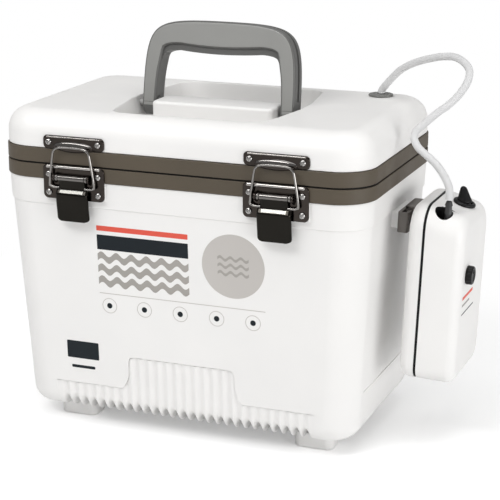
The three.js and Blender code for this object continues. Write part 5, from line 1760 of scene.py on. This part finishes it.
# The emptied nodes of a material or a world
def clearedNodes(holder):
    holder.use_nodes = True
    holder.node_tree.nodes.clear()
    return holder.node_tree.nodes, holder.node_tree.links


def mathOf(nodes, links, operation, first, second):
    made = nodes.new("ShaderNodeMath")
    made.operation = operation
    links.new(first, made.inputs[0])
    if isinstance(second, float):
        made.inputs[1].default_value = second
    else:
        links.new(second, made.inputs[1])
    return made.outputs[0]


# Mixes two shaders by a factor into a new output's surface
def surfaceOf(nodes, links, factor, first, second, output):
    mix = nodes.new("ShaderNodeMixShader")
    for source, socket in zip((factor, first.outputs[0], second.outputs[0]), mix.inputs):
        links.new(source, socket)
    links.new(mix.outputs[0], nodes.new(output).inputs["Surface"])


# Pale floor: the camera alone sees it lifted to white away from the shadow
def stageFloor():
    bm = bmesh.new()
    bmesh.ops.create_grid(bm, x_segments=1, y_segments=1, size=ground["size"])
    floor = objectOf("floor", bm, Matrix.Identity(4))
    material = bpy.data.materials.new("floor")
    nodes, links = clearedNodes(material)
    cameraRay = nodes.new("ShaderNodeLightPath").outputs["Is Camera Ray"]
    diffuse = withInputs(nodes.new("ShaderNodeBsdfDiffuse"),
                         {"Color": (*[ground["color"]] * 3, 1)})
    lift = nodes.new("ShaderNodeEmission")
    links.new(mathOf(nodes, links, "MULTIPLY", cameraRay, ground["lift"]),
              lift.inputs["Strength"])
    near = nodes.new("ShaderNodeAddShader")
    links.new(diffuse.outputs[0], near.inputs[0])
    links.new(lift.outputs[0], near.inputs[1])
    place = nodes.new("ShaderNodeTexCoord")
    length = nodes.new("ShaderNodeVectorMath")
    length.operation = "LENGTH"
    links.new(place.outputs["Object"], length.inputs[0])
    far = rampOf(nodes, links, length.outputs["Value"], 0, 1, ground["clearFrom"],
                 ground["clearTo"])
    clear = mathOf(nodes, links, "MULTIPLY", far, cameraRay)
    surfaceOf(nodes, links, clear, near, nodes.new("ShaderNodeEmission"),
              "ShaderNodeOutputMaterial")
    floor.data.materials.append(material)


stageFloor()


def worldLight(strength):
    world = bpy.data.worlds.new("studio")
    nodes, links = clearedNodes(world)
    plain, white = (withInputs(nodes.new("ShaderNodeBackground"), {"Strength": level})
                    for level in (strength, 1))
    rays = nodes.new("ShaderNodeLightPath").outputs
    either = mathOf(nodes, links, "MAXIMUM", rays["Is Camera Ray"], rays["Is Transmission Ray"])
    surfaceOf(nodes, links, either, plain, white, "ShaderNodeOutputWorld")
    scene.world = world


def areaLamp(name, position, target, size, power):
    data = bpy.data.lights.new(name, "AREA")
    data.shape = "RECTANGLE"
    data.size, data.size_y = size
    data.energy = power
    lamp = bpy.data.objects.new(name, data)
    scene.collection.objects.link(lamp)
    lamp.location = position
    lamp.rotation_euler = (Vector(target) - Vector(position)).to_track_quat("-Z", "Y").to_euler()


worldStrength = 0.49
lamps = {
    "key_strip": ((-0.6, -1.1, 1.3), (0, 0, 0.2), (1.3, 0.16), 8),
    "front_high": ((-0.2, -0.7, 0.9), (0, 0, 0.25), (0.35, 0.35), 1.2),
    "right_fill": ((1.9, -0.65, 0.2), (0.1, 0, 0.1), (1.8, 0.6), 19),
    "top_soft": ((0.2, -0.3, 2.0), (0, 0, 0.2), (1.4, 1.4), 14),
}
worldLight(worldStrength)
for name, (position, target, size, power) in lamps.items():
    areaLamp(name, position, target, size, power)
print("stage made")
